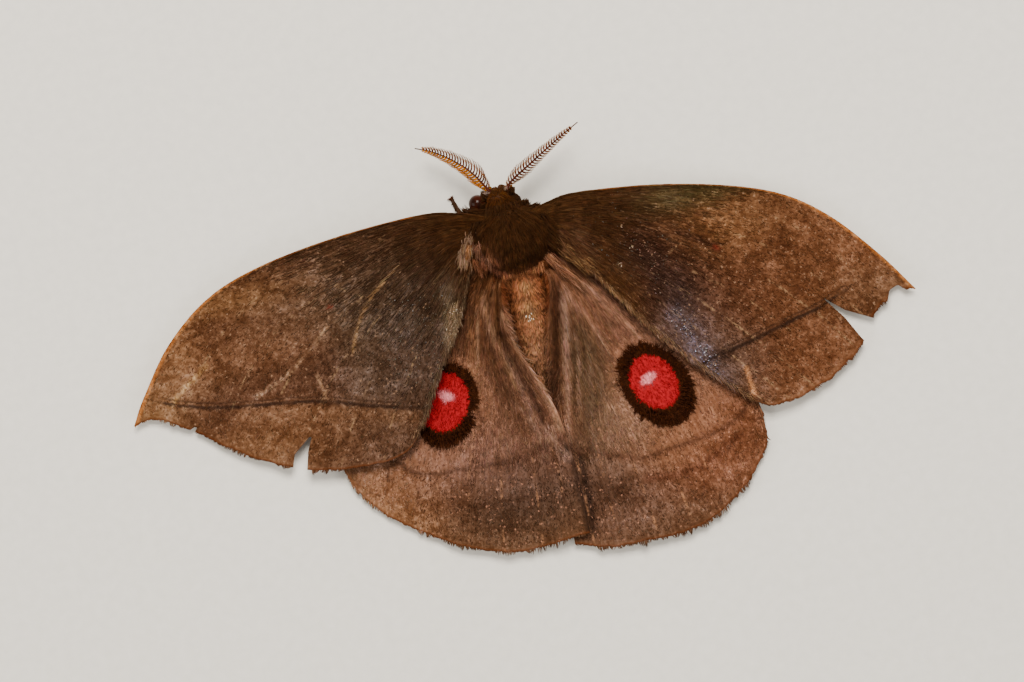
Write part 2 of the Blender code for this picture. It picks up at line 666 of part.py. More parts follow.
def build_palps(material, moth, head_rooms):
    """Two short blunt palps under the brow."""
    for side, sign in (("left", -1), ("right", 1)):
        root, tip = (Vector((HEAD_CENTRE.x + sign * end.x, end.y, end.z)) for end in (PALP_ROOT, PALP_TIP))
        last = len(PALP_RADII) - 1
        points = [root.lerp(tip, k / last) for k in range(last + 1)]
        cut(add_tube("palp_" + side, points, PALP_RADII, material, moth), *head_rooms)


def build_wings(material, moth, cutters, thorax_room):
    """The four wings, cut short at the thorax and torn, and the room round each."""
    rooms = []
    for name, (outline, veins, cell_end, height, tears) in WINGS.items():
        wing = build_wing(name, outline, veins, cell_end, height, material, moth)
        wedges = [add_prism(f"{name}_tear_{k}", tear, FLOOR_Z, TEAR_TOP_Z, material, cutters)
                  for k, tear in enumerate(tears)]
        cut(wing, thorax_room, *wedges)
        rooms.append(build_wing(name + "_room", outline, veins, cell_end, height, material, cutters,
                                WING_ROOM))
    return rooms


def build_legs(material, moth, thorax_room):
    """Six legs from the thorax to the floor, each with a flat under its foot."""
    radius_at = smooth_line([(radius, k) for k, radius in enumerate(LEG_RADII)])
    for name, points in LEGS.items():
        at = smooth_line(points)
        shares = [k / LEG_STEPS for k in range(LEG_STEPS + 1)]
        radii = [radius_at(share).x for share in shares]
        leg = add_tube(name, [at(share) for share in shares], radii, material, moth)
        cut(leg, thorax_room)
        cut_at_floor(leg)


def main():
    clear_scene()
    moth = new_collection("moth")
    cutters = new_collection("cutters")
    wing_scales = plain_material("wing_scales", (0.12, 0.065, 0.045), 0.75)
    body_fur = plain_material("body_fur", (0.05, 0.028, 0.018), 0.9)
    belly_fur = plain_material("belly_fur", (0.22, 0.1, 0.06), 0.9)
    eye_glass = plain_material("eye_glass", (0.02, 0.008, 0.006), 0.15)
    feeler_horn = plain_material("feeler_horn", (0.35, 0.12, 0.03), 0.5)
    leg_fur = plain_material("leg_fur", (0.08, 0.04, 0.025), 0.8)

    thorax = add_ellipsoid("thorax", THORAX_CENTRE, THORAX_RADII, body_fur, moth, 0.0, *THORAX_MESH)
    thorax_room = add_ellipsoid("thorax_room", THORAX_CENTRE, THORAX_RADII, body_fur, cutters, GAP,
                                *THORAX_MESH)
    head_rooms = build_head(body_fur, eye_glass, moth, cutters, thorax_room)
    build_palps(body_fur, moth, head_rooms)
    for side, line in ANTENNAE.items():
        build_antenna("antenna_" + side, line, feeler_horn, moth, head_rooms)
    abdomen = build_abdomen("abdomen", belly_fur, moth)
    cut(abdomen, thorax_room)
    cut_at_floor(abdomen)
    abdomen_room = build_abdomen("abdomen_room", belly_fur, cutters, GAP)
    wing_rooms = build_wings(wing_scales, moth, cutters, thorax_room)
    build_legs(leg_fur, moth, thorax_room)
    add_thorax_locks(thorax, body_fur, [*head_rooms, abdomen_room, *wing_rooms])

    root = bpy.data.objects.new("moth_root", None)
    moth.objects.link(root)
    for part in moth.objects:
        if part is not root:
            part.parent = root
    ground_origin(root)
    for cutter in cutters.objects:
        cutter.hide_render = True
        cutter.display_type = "WIRE"


main()
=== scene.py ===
# %% [markdown]
# # A silk moth with red eyespots
#
# The model is a large brown moth at rest, life size, wings spread flat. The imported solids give
# every part its place. This script dresses them: thin wings with veins, folds and markings, one
# skin under a coat of hair, feathered antennae, glossy eyes, and a studio to see them in.
# Lengths are in millimetres in the moth's own frame: left is -X, the head points to +Y, up is +Z.

# %% Load the frame
import math
from functools import partial

import bmesh
import bpy
import numpy as np
from mathutils import Matrix, Vector
from mathutils.bvhtree import BVHTree


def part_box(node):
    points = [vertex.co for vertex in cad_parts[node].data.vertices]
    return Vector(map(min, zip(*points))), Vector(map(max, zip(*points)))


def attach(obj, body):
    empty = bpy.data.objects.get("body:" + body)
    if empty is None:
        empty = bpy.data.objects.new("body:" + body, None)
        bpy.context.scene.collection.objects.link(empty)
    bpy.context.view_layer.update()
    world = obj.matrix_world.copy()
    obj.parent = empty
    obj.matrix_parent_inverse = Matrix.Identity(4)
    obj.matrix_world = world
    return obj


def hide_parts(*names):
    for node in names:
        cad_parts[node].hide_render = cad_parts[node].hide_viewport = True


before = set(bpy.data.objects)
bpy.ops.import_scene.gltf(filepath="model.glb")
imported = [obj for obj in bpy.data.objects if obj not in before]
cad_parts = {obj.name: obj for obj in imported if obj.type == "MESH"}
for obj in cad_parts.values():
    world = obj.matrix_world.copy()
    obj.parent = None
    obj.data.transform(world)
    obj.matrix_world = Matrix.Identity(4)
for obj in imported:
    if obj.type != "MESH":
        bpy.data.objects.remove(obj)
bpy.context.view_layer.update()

MM = 0.001
print("nodes in the frame:", len(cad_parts))

# %% [markdown]
# ## Where the moth's own frame is
#
# The solids were moved so that the middle of their outline is over the origin. An eye is a sphere
# whose place in the moth's own frame is known, so the middle of its box tells how far they moved.
# Measuring the shift keeps every piece on its solid even if an outline changes later.

# %% Find the shift from the moth's frame to the scene
EYE_LEFT = Vector((-2.5, 3.9, 4.3))
low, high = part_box("eye_left")
SHIFT = (low + high) / 2 / MM - EYE_LEFT
TO_SCENE = Matrix.Scale(MM, 4) @ Matrix.Translation(SHIFT)
print("shift in mm:", [round(part, 3) for part in SHIFT])

# %% [markdown]
# ## Small helpers for shape
#
# A wing's edge is one smooth curve through a few measured points, so a Catmull-Rom curve is used:
# it passes through its points, where a Bezier would need handles. All helpers take whole arrays,
# because tens of thousands of hairs ask for the same surface.

# %% Curves, blends and noise
def smooth_line(points):
    """A function of 0 to 1 that runs through the points on one smooth curve, at even pace."""
    nodes = np.array(points, float)
    ahead = np.vstack([2 * nodes[0] - nodes[1], nodes, 2 * nodes[-1] - nodes[-2]])
    steps = np.linalg.norm(np.diff(nodes, axis=0), axis=1)
    lengths = np.concatenate([[0.0], np.cumsum(steps)])

    def at(t):
        reach = np.clip(t, 0.0, 1.0) * lengths[-1]
        k = np.clip(np.searchsorted(lengths, reach) - 1, 0, len(nodes) - 2)
        s = ((reach - lengths[k]) / steps[k])[..., None]
        a, b, c, d = ahead[k], ahead[k + 1], ahead[k + 2], ahead[k + 3]
        curve = 2 * b + (c - a) * s + (2 * a - 5 * b + 4 * c - d) * s**2
        return (curve + (3 * b - 3 * c + d - a) * s**3) / 2

    return at


def ramp(start, end, value):
    """Rises smoothly from 0 at the first limit to 1 at the second."""
    s = np.clip((value - start) / (end - start), 0.0, 1.0)
    return s * s * (3 - 2 * s)


def hump(value, centre, width):
    """A soft bump of height 1 at a centre, which fades out over a width on both sides."""
    return np.exp(-(((value - centre) / width) ** 2))


LATTICE = 64


def cloud(x, y, size, seed):
    """Smooth seeded noise from -1 to 1, with swellings about as large as size."""
    lattice = np.random.default_rng(seed).uniform(-1, 1, (LATTICE, LATTICE))
    x, y = x / size + LATTICE, y / size + LATTICE
    i, j = np.floor(x).astype(int), np.floor(y).astype(int)
    s, t = ramp(0, 1, x - i), ramp(0, 1, y - j)
    near = lattice[i % LATTICE, j % LATTICE] * (1 - s) + lattice[(i + 1) % LATTICE, j % LATTICE] * s
    j += 1
    far = lattice[i % LATTICE, j % LATTICE] * (1 - s) + lattice[(i + 1) % LATTICE, j % LATTICE] * s
    return near * (1 - t) + far * t


print("noise sample:", round(float(cloud(1.0, 2.0, 3.0, 1)), 3))

# %% [markdown]
# ## Small helpers for paint and pieces
#
# Colours are written as sRGB hex values, as a paint chart gives them, and turned to linear light
# once. One function adds any shader node and gives its output, so that a material reads as a list
# of its steps.

# %% Paint, nodes and pieces
def paint(code):
    """The linear red, green and blue of an sRGB hex colour."""
    channels = np.array([int(code[k:k + 2], 16) for k in (1, 3, 5)]) / 255
    return np.where(channels <= 0.04045, channels / 12.92, ((channels + 0.055) / 1.055) ** 2.4)


TWIST = np.array([0.85, 1.1, 1.45])


def toned(value):
    """A share of light as a colour: scales go warm where they darken and grey where they pale."""
    return np.asarray(value, float)[..., None] ** TWIST


def blend(under, over, share):
    """Lays one paint over another by a share of 0 to 1 at each place."""
    share = np.asarray(share, float)[..., None]
    return under * (1 - share) + over * share


def add_node(tree, kind, links=None, stops=(), out=0, **settings):
    """Adds a shader node with its settings, input links or values and ramp stops; gives an output."""
    node = tree.nodes.new("ShaderNode" + kind)
    for key, value in settings.items():
        setattr(node, key, value)
    for key, value in (links or {}).items():
        if isinstance(value, bpy.types.NodeSocket):
            tree.links.new(value, node.inputs[key])
        else:
            node.inputs[key].default_value = value
    for k, (place, colour) in enumerate(stops):
        steps = node.color_ramp.elements
        step = steps[k] if k < 2 else steps.new(place)
        step.position = place
        step.color = (*np.broadcast_to(colour, 3), 1.0)
    return node.outputs[out] if node.outputs else None


def new_material(name):
    """A material with an empty node tree, and the function that adds nodes to it."""
    material = bpy.data.materials.new(name)
    material.use_nodes = True
    material.node_tree.nodes.clear()
    return material, partial(add_node, material.node_tree)


def as_mesh(name, shape):
    """Turns a shape into a mesh with smooth shading, and frees it."""
    for face in shape.faces:
        face.smooth = True
    mesh = bpy.data.meshes.new(name)
    shape.to_mesh(mesh)
    shape.free()
    return mesh


def in_scene(name, data, *materials):
    """A new object in the scene, with its data and, for a mesh, its material."""
    for material in materials:
        data.materials.append(material)
    item = bpy.data.objects.new(name, data)
    bpy.context.scene.collection.objects.link(item)
    return item


print("dark fur in linear light:", paint("#351d0a").round(4))

# %% [markdown]
# ## The four wings as surfaces
#
# A wing is a thin sheet held by three edges: the costa in front, the outer margin and the inner
# edge. A Coons patch blends those edges into a sheet of places (u across, v outwards), which is
# how a sail maker lofts a sail. Veins then run along lines of equal u, as they do in the wing.
# The heights repeat those of the solids: a slope down from the thorax, level outer parts, the
# hind wings over the abdomen, and the left one lapped over the right.

# %% Outlines of the wings
OUTLINES = {
    # wing: edge and its places, x and y from the thorax, in millimetres
    "forewing_left": {
        "costa": [(-1.6, 1.8), (-5, 3), (-9.3, 3.7), (-18.4, 3.3), (-27.3, 1.9), (-33.4, -0.3),
                  (-38.5, -4.3), (-42.3, -9.3), (-43.9, -12)],
        "margin": [(-43.9, -12), (-42.2, -11.9), (-40, -12.7), (-36.5, -15), (-33.9, -17),
                   (-29.3, -19.5), (-25.1, -21), (-20, -21.5), (-15.8, -20.9), (-13.4, -18.4)],
        "inner": [(-1.6, -0.8), (-4.6, -2.4), (-7.2, -7.9), (-10.3, -13), (-13.4, -18.4)],
    },
    "forewing_right": {
        "costa": [(1.6, 1.4), (4.5, 2.2), (7.8, 2.6), (15.7, 1.8), (23.3, 0.2), (29.5, -2.1),
                  (34.1, -5.5), (38.4, -10.5), (41.5, -15)],
        "margin": [(41.5, -15), (39.9, -14.6), (38.3, -15.5), (36.6, -17.2), (34.3, -20.2),
                   (30.7, -22.6), (26.8, -23.9), (23.8, -24.1), (21.9, -23.1)],
        "inner": [(1.6, -0.8), (5, -2), (8.7, -7.3), (12.3, -12.8), (16.6, -17.9), (21.9, -23.1)],
    },
    "hindwing_left": {
        "costa": [(-1.4, -0.7), (-7, -2.9), (-13, -7.4), (-18.6, -13.4), (-21.9, -18.5),
                  (-22.8, -21.5)],
        "margin": [(-22.8, -21.5), (-21.4, -24.8), (-18.2, -28.1), (-14.3, -30.9), (-10, -33),
                   (-5.3, -34.1), (-1.3, -33.9), (1.7, -33.4)],
        "inner": [(-1.2, -3.2), (-2.1, -5.6), (-2.2, -8.5), (-1.9, -12), (-0.6, -15.5),
                  (1, -20), (1.7, -26.5), (1.7, -33.4)],
    },
    "hindwing_right": {
        "costa": [(1.6, -0.7), (7.5, -2.9), (13.6, -8), (18.6, -14), (21.6, -20), (22.6, -24.5)],
        "margin": [(22.6, -24.5), (22.4, -28), (20.3, -31), (17, -33.8), (12.5, -35.5),
                   (6.3, -35.7), (2.5, -35.3), (-0.1, -34.3)],
        "inner": [(1.6, -3.2), (2.9, -5.4), (2.7, -7.6), (1.8, -11), (1, -15), (0.5, -20),
                  (0.1, -27), (-0.1, -34.3)],
    },
}
print("wings:", ", ".join(OUTLINES))

# %% [markdown]
# ## How high each wing lies
#
# A resting moth's wings slope from the thorax down to the floor, and a hind wing bends over the
# abdomen. They could be sculpted by hand, but as a formula of x and y the sheet, its hair and its
# fringe all find the same height.

# %% Heights of the wings over the floor
STACK_STEP = 0.95
FORE_TIP_Z, FORE_FLAT_Z, FORE_RISE = 1.25, 2.05, 3.9
HIND_FLAT_Z, HIND_RISE, HIND_SINK = 0.95, 3.8, 0.95
ABDOMEN_COVER = 0.7
ABDOMEN_STATIONS = np.array([
    # y, centre x, centre z, radius
    (-3.4, 0.4, 4.7, 1.5), (-5.0, 0.45, 4.35, 2.0), (-7.0, 0.5, 3.9, 2.4), (-10.0, 0.6, 3.3, 2.6),
    (-13.0, 0.7, 2.65, 2.5), (-16.0, 0.85, 2.1, 2.2), (-19.0, 1.0, 1.65, 1.8),
    (-21.5, 1.15, 1.25, 1.35), (-23.5, 1.25, 0.95, 0.85), (-24.6, 1.3, 0.85, 0.3),
])


def abdomen_at(y):
    """The abdomen's centre x, centre z and radius at places along the body."""
    stations = ABDOMEN_STATIONS[::-1]
    return [np.interp(y, stations[:, 0], stations[:, k]) for k in (1, 2, 3)]


def over_abdomen(x, y):
    """The height of a sheet that lies over the abdomen."""
    centre_x, centre_z, radius = abdomen_at(y)
    reach = radius + ABDOMEN_COVER
    turn = np.minimum(np.abs(x - centre_x) / reach, math.pi)
    fade = ramp(-3.0, -5.5, y) * ramp(-27.5, -22.5, y)
    return (centre_z + reach * np.cos(turn)) * fade


def slope(x, start, width, power):
    """Falls from 1 at the body to 0 far out, from a start and over a width."""
    return np.exp(-((np.maximum(np.abs(x) - start, 0.0) / width) ** power))


def hind_height(x, y):
    """A hind wing, which sinks to the floor behind the body and lies over the abdomen."""
    sheet = HIND_FLAT_Z + HIND_RISE * slope(x, 2.0, 9.0, 1.8)
    sheet = sheet - HIND_RISE * HIND_SINK * ramp(-7.0, -25.0, y) * slope(x, 0.0, 9.0, 2.0)
    sheet, cover = np.maximum(sheet, HIND_FLAT_Z), over_abdomen(x, y)
    crease = 0.6
    share = np.clip(0.5 + 0.5 * (sheet - cover) / crease, 0.0, 1.0)
    return cover + (sheet - cover) * share + crease * share * (1 - share)


def hind_left_height(x, y):
    """The left hind wing climbs onto the right one behind the abdomen."""
    return hind_height(x, y) + STACK_STEP * ramp(-4.0, -0.6, x) * ramp(-10.5, -14.0, y)


def fore_height(x, y):
    """A forewing, which lies over the hind wing and droops to the tip."""
    sheet = FORE_FLAT_Z + FORE_RISE * slope(x, 3.0, 10.0, 1.5)
    return sheet - (FORE_FLAT_Z - FORE_TIP_Z) * ramp(24.0, 38.0, np.abs(x))


HEIGHTS = {"forewing_left": fore_height, "forewing_right": fore_height,
           "hindwing_left": hind_left_height, "hindwing_right": hind_height}
print("height at the right eyespot:", round(float(hind_height(12.0, -19.4)), 2), "mm")

# %% [markdown]
# ## Veins, folds and worn edges
#
# Veins are tubes that stiffen the membrane, which sags between them and is pleated beside the
# body. They could be rods of their own, but as relief of the sheet they never come loose from it.

# %% Veins, folds and worn edges
CELL_END = {"fore": 0.45, "hind": 0.41}
VEINS = {
    # kind: list of (place across the wing, place outwards where the vein starts)
    "fore": [(0.012, 0.0), (0.15, 0.0), (0.29, 0.45), (0.42, 0.45), (0.55, 0.45), (0.68, 0.0),
             (0.81, 0.0), (0.92, 0.0)],
    "hind": [(0.012, 0.0), (0.13, 0.0), (0.28, 0.41), (0.42, 0.41), (0.55, 0.41), (0.68, 0.0),
             (0.82, 0.0), (0.92, 0.0)],
}
VEIN_WIDTH = 0.2
VEIN_HEIGHT = 0.14
VEIN_BEND = 0.006
SAG = 0.07
PLEAT = 0.17
PLEATS = 5.5
WRINKLE = 0.1
RAGGED = {"fore": 0.35, "hind": 0.4}
WING_LENGTH = 40.0
FAR = 9.0


class Wing:
    """One wing as a surface: where each place (u across, v outwards) lies, in millimetres."""

    def __init__(self, name):
        self.name = name
        self.kind = name[:4]
        self.seed = sum(name.encode())
        outline = OUTLINES[name]
        edges = [smooth_line(outline[key]) for key in ("costa", "margin", "inner")]
        self.costa, self.margin, self.inner = edges
        self.height = HEIGHTS[name]
        self.ends = [self.costa(np.array(0.0)), self.inner(np.array(0.0)),
                     self.costa(np.array(1.0)), self.inner(np.array(1.0))]

    def notch(self, u):
        """How far wear has taken the margin back, as a share of the way to the root."""
        worn = 0.6 * cloud(u * 18, 0 * u, 1.0, self.seed + 7)
        worn = worn + 0.4 * cloud(u * 60, 0 * u, 1.0, self.seed + 8)
        ends = ramp(0.0, 0.04, u) * ramp(1.0, 0.96, u)
        return RAGGED[self.kind] * (0.5 + 0.5 * worn) * ends / WING_LENGTH

    def flat(self, u, v):
        """The place seen from above."""
        front, back, apex, corner = self.ends
        u, v = np.broadcast_arrays(u, v)
        v = v * (1 - self.notch(u) * ramp(0.85, 1.0, v))
        a, b = u[..., None], v[..., None]
        edges = self.costa(v) * (1 - a) + self.inner(v) * a + self.margin(u) * b
        edges = edges + (front * (1 - a) + back * a) * (1 - b)
        corners = front * (1 - a) * (1 - b) + back * a * (1 - b) + apex * (1 - a) * b + corner * a * b
        return edges - corners

    def chord(self, v):
        """The distance across the wing."""
        return np.linalg.norm(self.flat(0 * v, v) - self.flat(0 * v + 1, v), axis=-1)

    def span(self, u):
        """The distance from the root to the margin."""
        return np.linalg.norm(self.flat(u, 0 * u) - self.flat(u, 0 * u + 1), axis=-1)

    def vein_distance(self, u, v):
        """The distance to the nearest vein, which wavers a little from its line."""
        chord = self.chord(v)
        nearest = np.full(np.shape(u), FAR)
        for k, (line, start) in enumerate(VEINS[self.kind]):
            bend = VEIN_BEND * cloud(v * 9, 0 * v + k, 1.0, self.seed + k)
            away = np.abs(u - line - bend) * chord + FAR * (v < start)
            nearest = np.minimum(nearest, away)
        cell_end = CELL_END[self.kind] + 0.02 * np.sin((u - 0.15) * 12)
        across = np.abs(v - cell_end) * self.span(u) + FAR * (np.abs(u - 0.35) > 0.22)
        return np.minimum(nearest, across)

    def lift(self, u, v):
        """Relief of the sheet: veins stand up, cells sag between them, and the folds run along."""
        away = self.vein_distance(u, v)
        thin = 1 - 0.6 * v
        relief = VEIN_HEIGHT * thin * hump(away, 0.0, VEIN_WIDTH * thin)
        relief = relief - SAG * ramp(0.0, 1.6, away)
        x, y = np.moveaxis(self.flat(u, v), -1, 0)
        relief = relief + WRINKLE * cloud(x, y, 3.1, self.seed)
        relief = relief + 0.3 * WRINKLE * cloud(x, y, 1.1, self.seed + 1)
        if self.kind == "hind":
            waver = 0.25 * cloud(v * 7, u * 3, 1.0, self.seed + 2)
            folded = ramp(0.42, 0.62, u) * ramp(0.95, 0.55, v)
            relief = relief + PLEAT * folded * np.sin(2 * math.pi * (PLEATS * u + waver))
        return relief * ramp(0.0, 0.08, v)

    def at(self, u, v, over=0.0):
        """The place in space, at a height over the sheet."""
        flat = self.flat(u, v)
        z = self.height(flat[..., 0], flat[..., 1]) + self.lift(u, v) + over
        return np.concatenate([flat, z[..., None]], axis=-1)


wings = {name: Wing(name) for name in OUTLINES}
for wing in wings.values():
    print(wing.name, "is", round(float(wing.span(np.array(0.1))), 1), "mm from root to margin")

# %% [markdown]
# ## The markings as zones of paint
#
# A moth's wing takes its colour from dust-like scales in a few broad zones: a dark root, a warm
# front edge, a grey cell, a browner rim. Each zone is a soft spot with a place and a size, and the
# spots are blended. The colours go into an attribute of the mesh, so that the sheet, its hair and
# its fringe all carry the same markings.

# %% Zones of colour
ALONG = {
    # wing: list of (place outwards, paint)
    "forewing_left": [(0, "#43270f"), (0.18, "#472d1a"), (0.45, "#482f1e"), (0.7, "#533422"),
                      (0.87, "#4f3323"), (1, "#4b3020")],
    "forewing_right": [(0, "#43270f"), (0.25, "#452815"), (0.5, "#482b18"), (0.7, "#4f2f1a"),
                       (1, "#52331d")],
    "hindwing_left": [(0, "#603c25"), (0.25, "#714b36"), (0.5, "#79503a"), (0.75, "#75513f"),
                      (0.88, "#6c4a36"), (1, "#674630")],
    "hindwing_right": [(0, "#65402b"), (0.25, "#6b452f"), (0.5, "#7b543f"), (0.75, "#78513c"),
                       (0.88, "#65412d"), (1, "#5f3f2b")],
}
SPOTS = {
    # wing: list of (name, paint, x, y, half width, half depth, strength)
    "forewing_left": [
        ("dark root", "#39200c", -4, 0.5, 5, 3.5, 1.5),
        ("grey cell", "#3c3128", -13.6, -8.5, 4.4, 5.2, 2),
        ("blue-grey inner edge", "#382e28", -14.8, -15, 4.5, 3.3, 1.8),
        ("pale inner scales", "#8a7860", -7.6, -8.2, 0.6, 2.2, 2.6),
        ("grey middle", "#433426", -23, -4, 7, 2.6, 0.9),
        ("warm front edge", "#725030", -33, -1, 4.5, 1, 1.4),
        ("warm front edge, outer", "#785232", -38.4, -4.6, 2, 2.2, 1.2),
        # partly the tip's own paler scales, partly painted light shining through the thin wing tip
        ("pale apex", "#845e3c", -42, -11, 2.4, 2, 1.6),
        ("reddish outer field", "#5a3820", -31, -7, 6, 4, 1),
        ("plain outer band", "#5c3b21", -26, -17.6, 9, 2.2, 1.8),
        ("grey outer band", "#523b2e", -17.5, -19.3, 5, 2, 1.5),
        ("grey band by the cell", "#5c4c3e", -18.2, -9.5, 1.6, 3.4, 1.3),
        ("dark inner root", "#2c1a0f", -9.2, -3.6, 2, 1.7, 1.4),
        ("dusky band over the line", "#382216", -27, -10.6, 11, 1.4, 1.8),
        ("dusky middle", "#412b1c", -22.5, -11, 2.4, 1.6, 0.7),
        ("dusky tip over the line", "#6c4a30", -37.5, -9, 2.6, 1.5, 1.2),
    ],
    "forewing_right": [
        ("dark root", "#3b2411", 5, 0, 5.5, 3.5, 1.6),
        ("dark cell", "#351b0e", 15.6, -6.6, 3.8, 3, 1.6),
        # painted sheen: the violet sheen and its brightest part stand in for the blue-violet sheen of
        # the scales in the light
        ("violet sheen", "#453733", 16.6, -13.4, 2.2, 3.2, 2.2),
        ("grey inner edge", "#54433a", 19.4, -18.9, 2.8, 3, 1.9),
        ("brown inner edge", "#56381f", 10, -8.4, 1.6, 3, 1.5),
        ("tan patch", "#785132", 22.5, -3.8, 3.2, 2, 1.8),
        ("olive front", "#453f24", 20.8, 0.1, 3.6, 1, 2.2),
        ("pale olive costa", "#54432b", 16.5, 0.3, 2.6, 0.9, 1.2),
        ("dark front field", "#4a2e19", 26, -3.3, 2.2, 1.5, 1.2),
        ("brown middle", "#43291a", 20.5, -12.3, 2.8, 2, 1),
        ("reddish field", "#502f1d", 24.5, -11.5, 5, 3.5, 1.5),
        ("warm outer field", "#56341e", 31.5, -7, 4.5, 4, 1.4),
        ("tan inner root", "#73503a", 5.9, -3.6, 1, 1.8, 3),
        ("brightest violet sheen", "#5e5054", 16.8, -15.4, 0.8, 2.4, 1.7),
        ("grey apex notch", "#583c28", 37, -13.5, 2.2, 1.8, 1.6),
        # partly the tip's own paler scales, partly painted light shining through the thin wing tip
        ("pale apex", "#724930", 37.5, -9, 2.4, 2.4, 1.2),
        ("plain outer band", "#66402a", 28.5, -20.5, 4.5, 2.8, 1.6),
    ],
    "hindwing_left": [
        ("dark grey corner", "#2c1e15", -4.5, -28.4, 5, 2.6, 6),
        ("dusky inner band", "#452c1c", -8, -26.4, 3.6, 1.3, 3.6),
        ("pale inner corner", "#8a6350", -2.3, -21.4, 1.5, 1.7, 1.4),
        ("dark fold", "#785746", -2.6, -17.5, 2.2, 5, 1.2),
        ("brown root", "#58361f", -3, -6, 2, 4, 1.3),
        ("pinkish field", "#785548", -10, -24.5, 5, 2.2, 1.6),
        ("pinkish gold rim", "#7f583a", -17, -27, 4, 3, 1.6),
        ("grey rim", "#523824", -6, -31.8, 6, 1.8, 1),
    ],
    "hindwing_right": [
        ("dark grey corner", "#32231a", 3.9, -28.4, 3.3, 2.3, 4),
        ("grey-brown corner, outer", "#5e4538", 6, -31.8, 3.6, 2, 2),
        ("olive fold", "#57432e", 5, -16.5, 1.5, 4.2, 2.2),
        ("tan inner field", "#8c6c58", 7, -23.2, 2.3, 2.2, 1.7),
        ("pink front", "#805846", 12, -11, 3.6, 3.6, 1.2),
        ("tan field", "#7c543c", 13.5, -26, 4.5, 2.2, 1.6),
        ("reddish rim", "#683c27", 18, -27.5, 3.4, 3, 1.6),
        ("grey rim", "#432c1b", 9, -34, 7, 1.8, 1.6),
    ],
}
EYESPOTS = {
    "hindwing_left": {"centre": (-10.65, -16.75), "half": (4.55, 3.6), "red_centre": (-10.65, -16.45),
                      "red_half": (3.4, 2.7), "turn": -117},
    "hindwing_right": {"centre": (12, -19.3), "half": (4.9, 3.55), "red_centre": (11.85, -19),
                       "red_half": (3.35, 2.55), "turn": -63},
}
SPOT_RED, SPOT_BLACK, SPOT_PUPIL = "#95141c", "#311505", "#de868e"
PUPIL_HALF = (0.5, 0.8)
PUPILS = {"hindwing_left": (-10.35, -15.75), "hindwing_right": (11.3, -18.45)}
WORN_SPOT, WORN_HALF = (-7.3, -18.6), (0.9, 1.9)
LINES = {
    "forewing_left": [(-40.7, -10), (-39.1, -10.7), (-35.2, -11.8), (-30.7, -12.5), (-27.3, -12.9),
                      (-23.1, -13.7), (-19.4, -14.8), (-16.2, -15.7), (-13.1, -16.5)],
    "forewing_right": [(34, -13.6), (30.5, -14.9), (28.3, -15.4), (26, -16), (23.7, -16.6),
                       (21.5, -17.1), (19.3, -17.5), (16.5, -18.4)],
    "hindwing_left": [(-21.5, -20), (-17.4, -21.6), (-15.6, -23), (-13.9, -23.7), (-10.2, -23.9),
                      (-5.5, -24), (-2.8, -23.4), (1.5, -22.5)],
    "hindwing_right": [(0.5, -24), (3, -24.6), (8.4, -26.6), (12.5, -26.3), (16.5, -25.8),
                       (20, -24.6), (22.5, -22)],
}
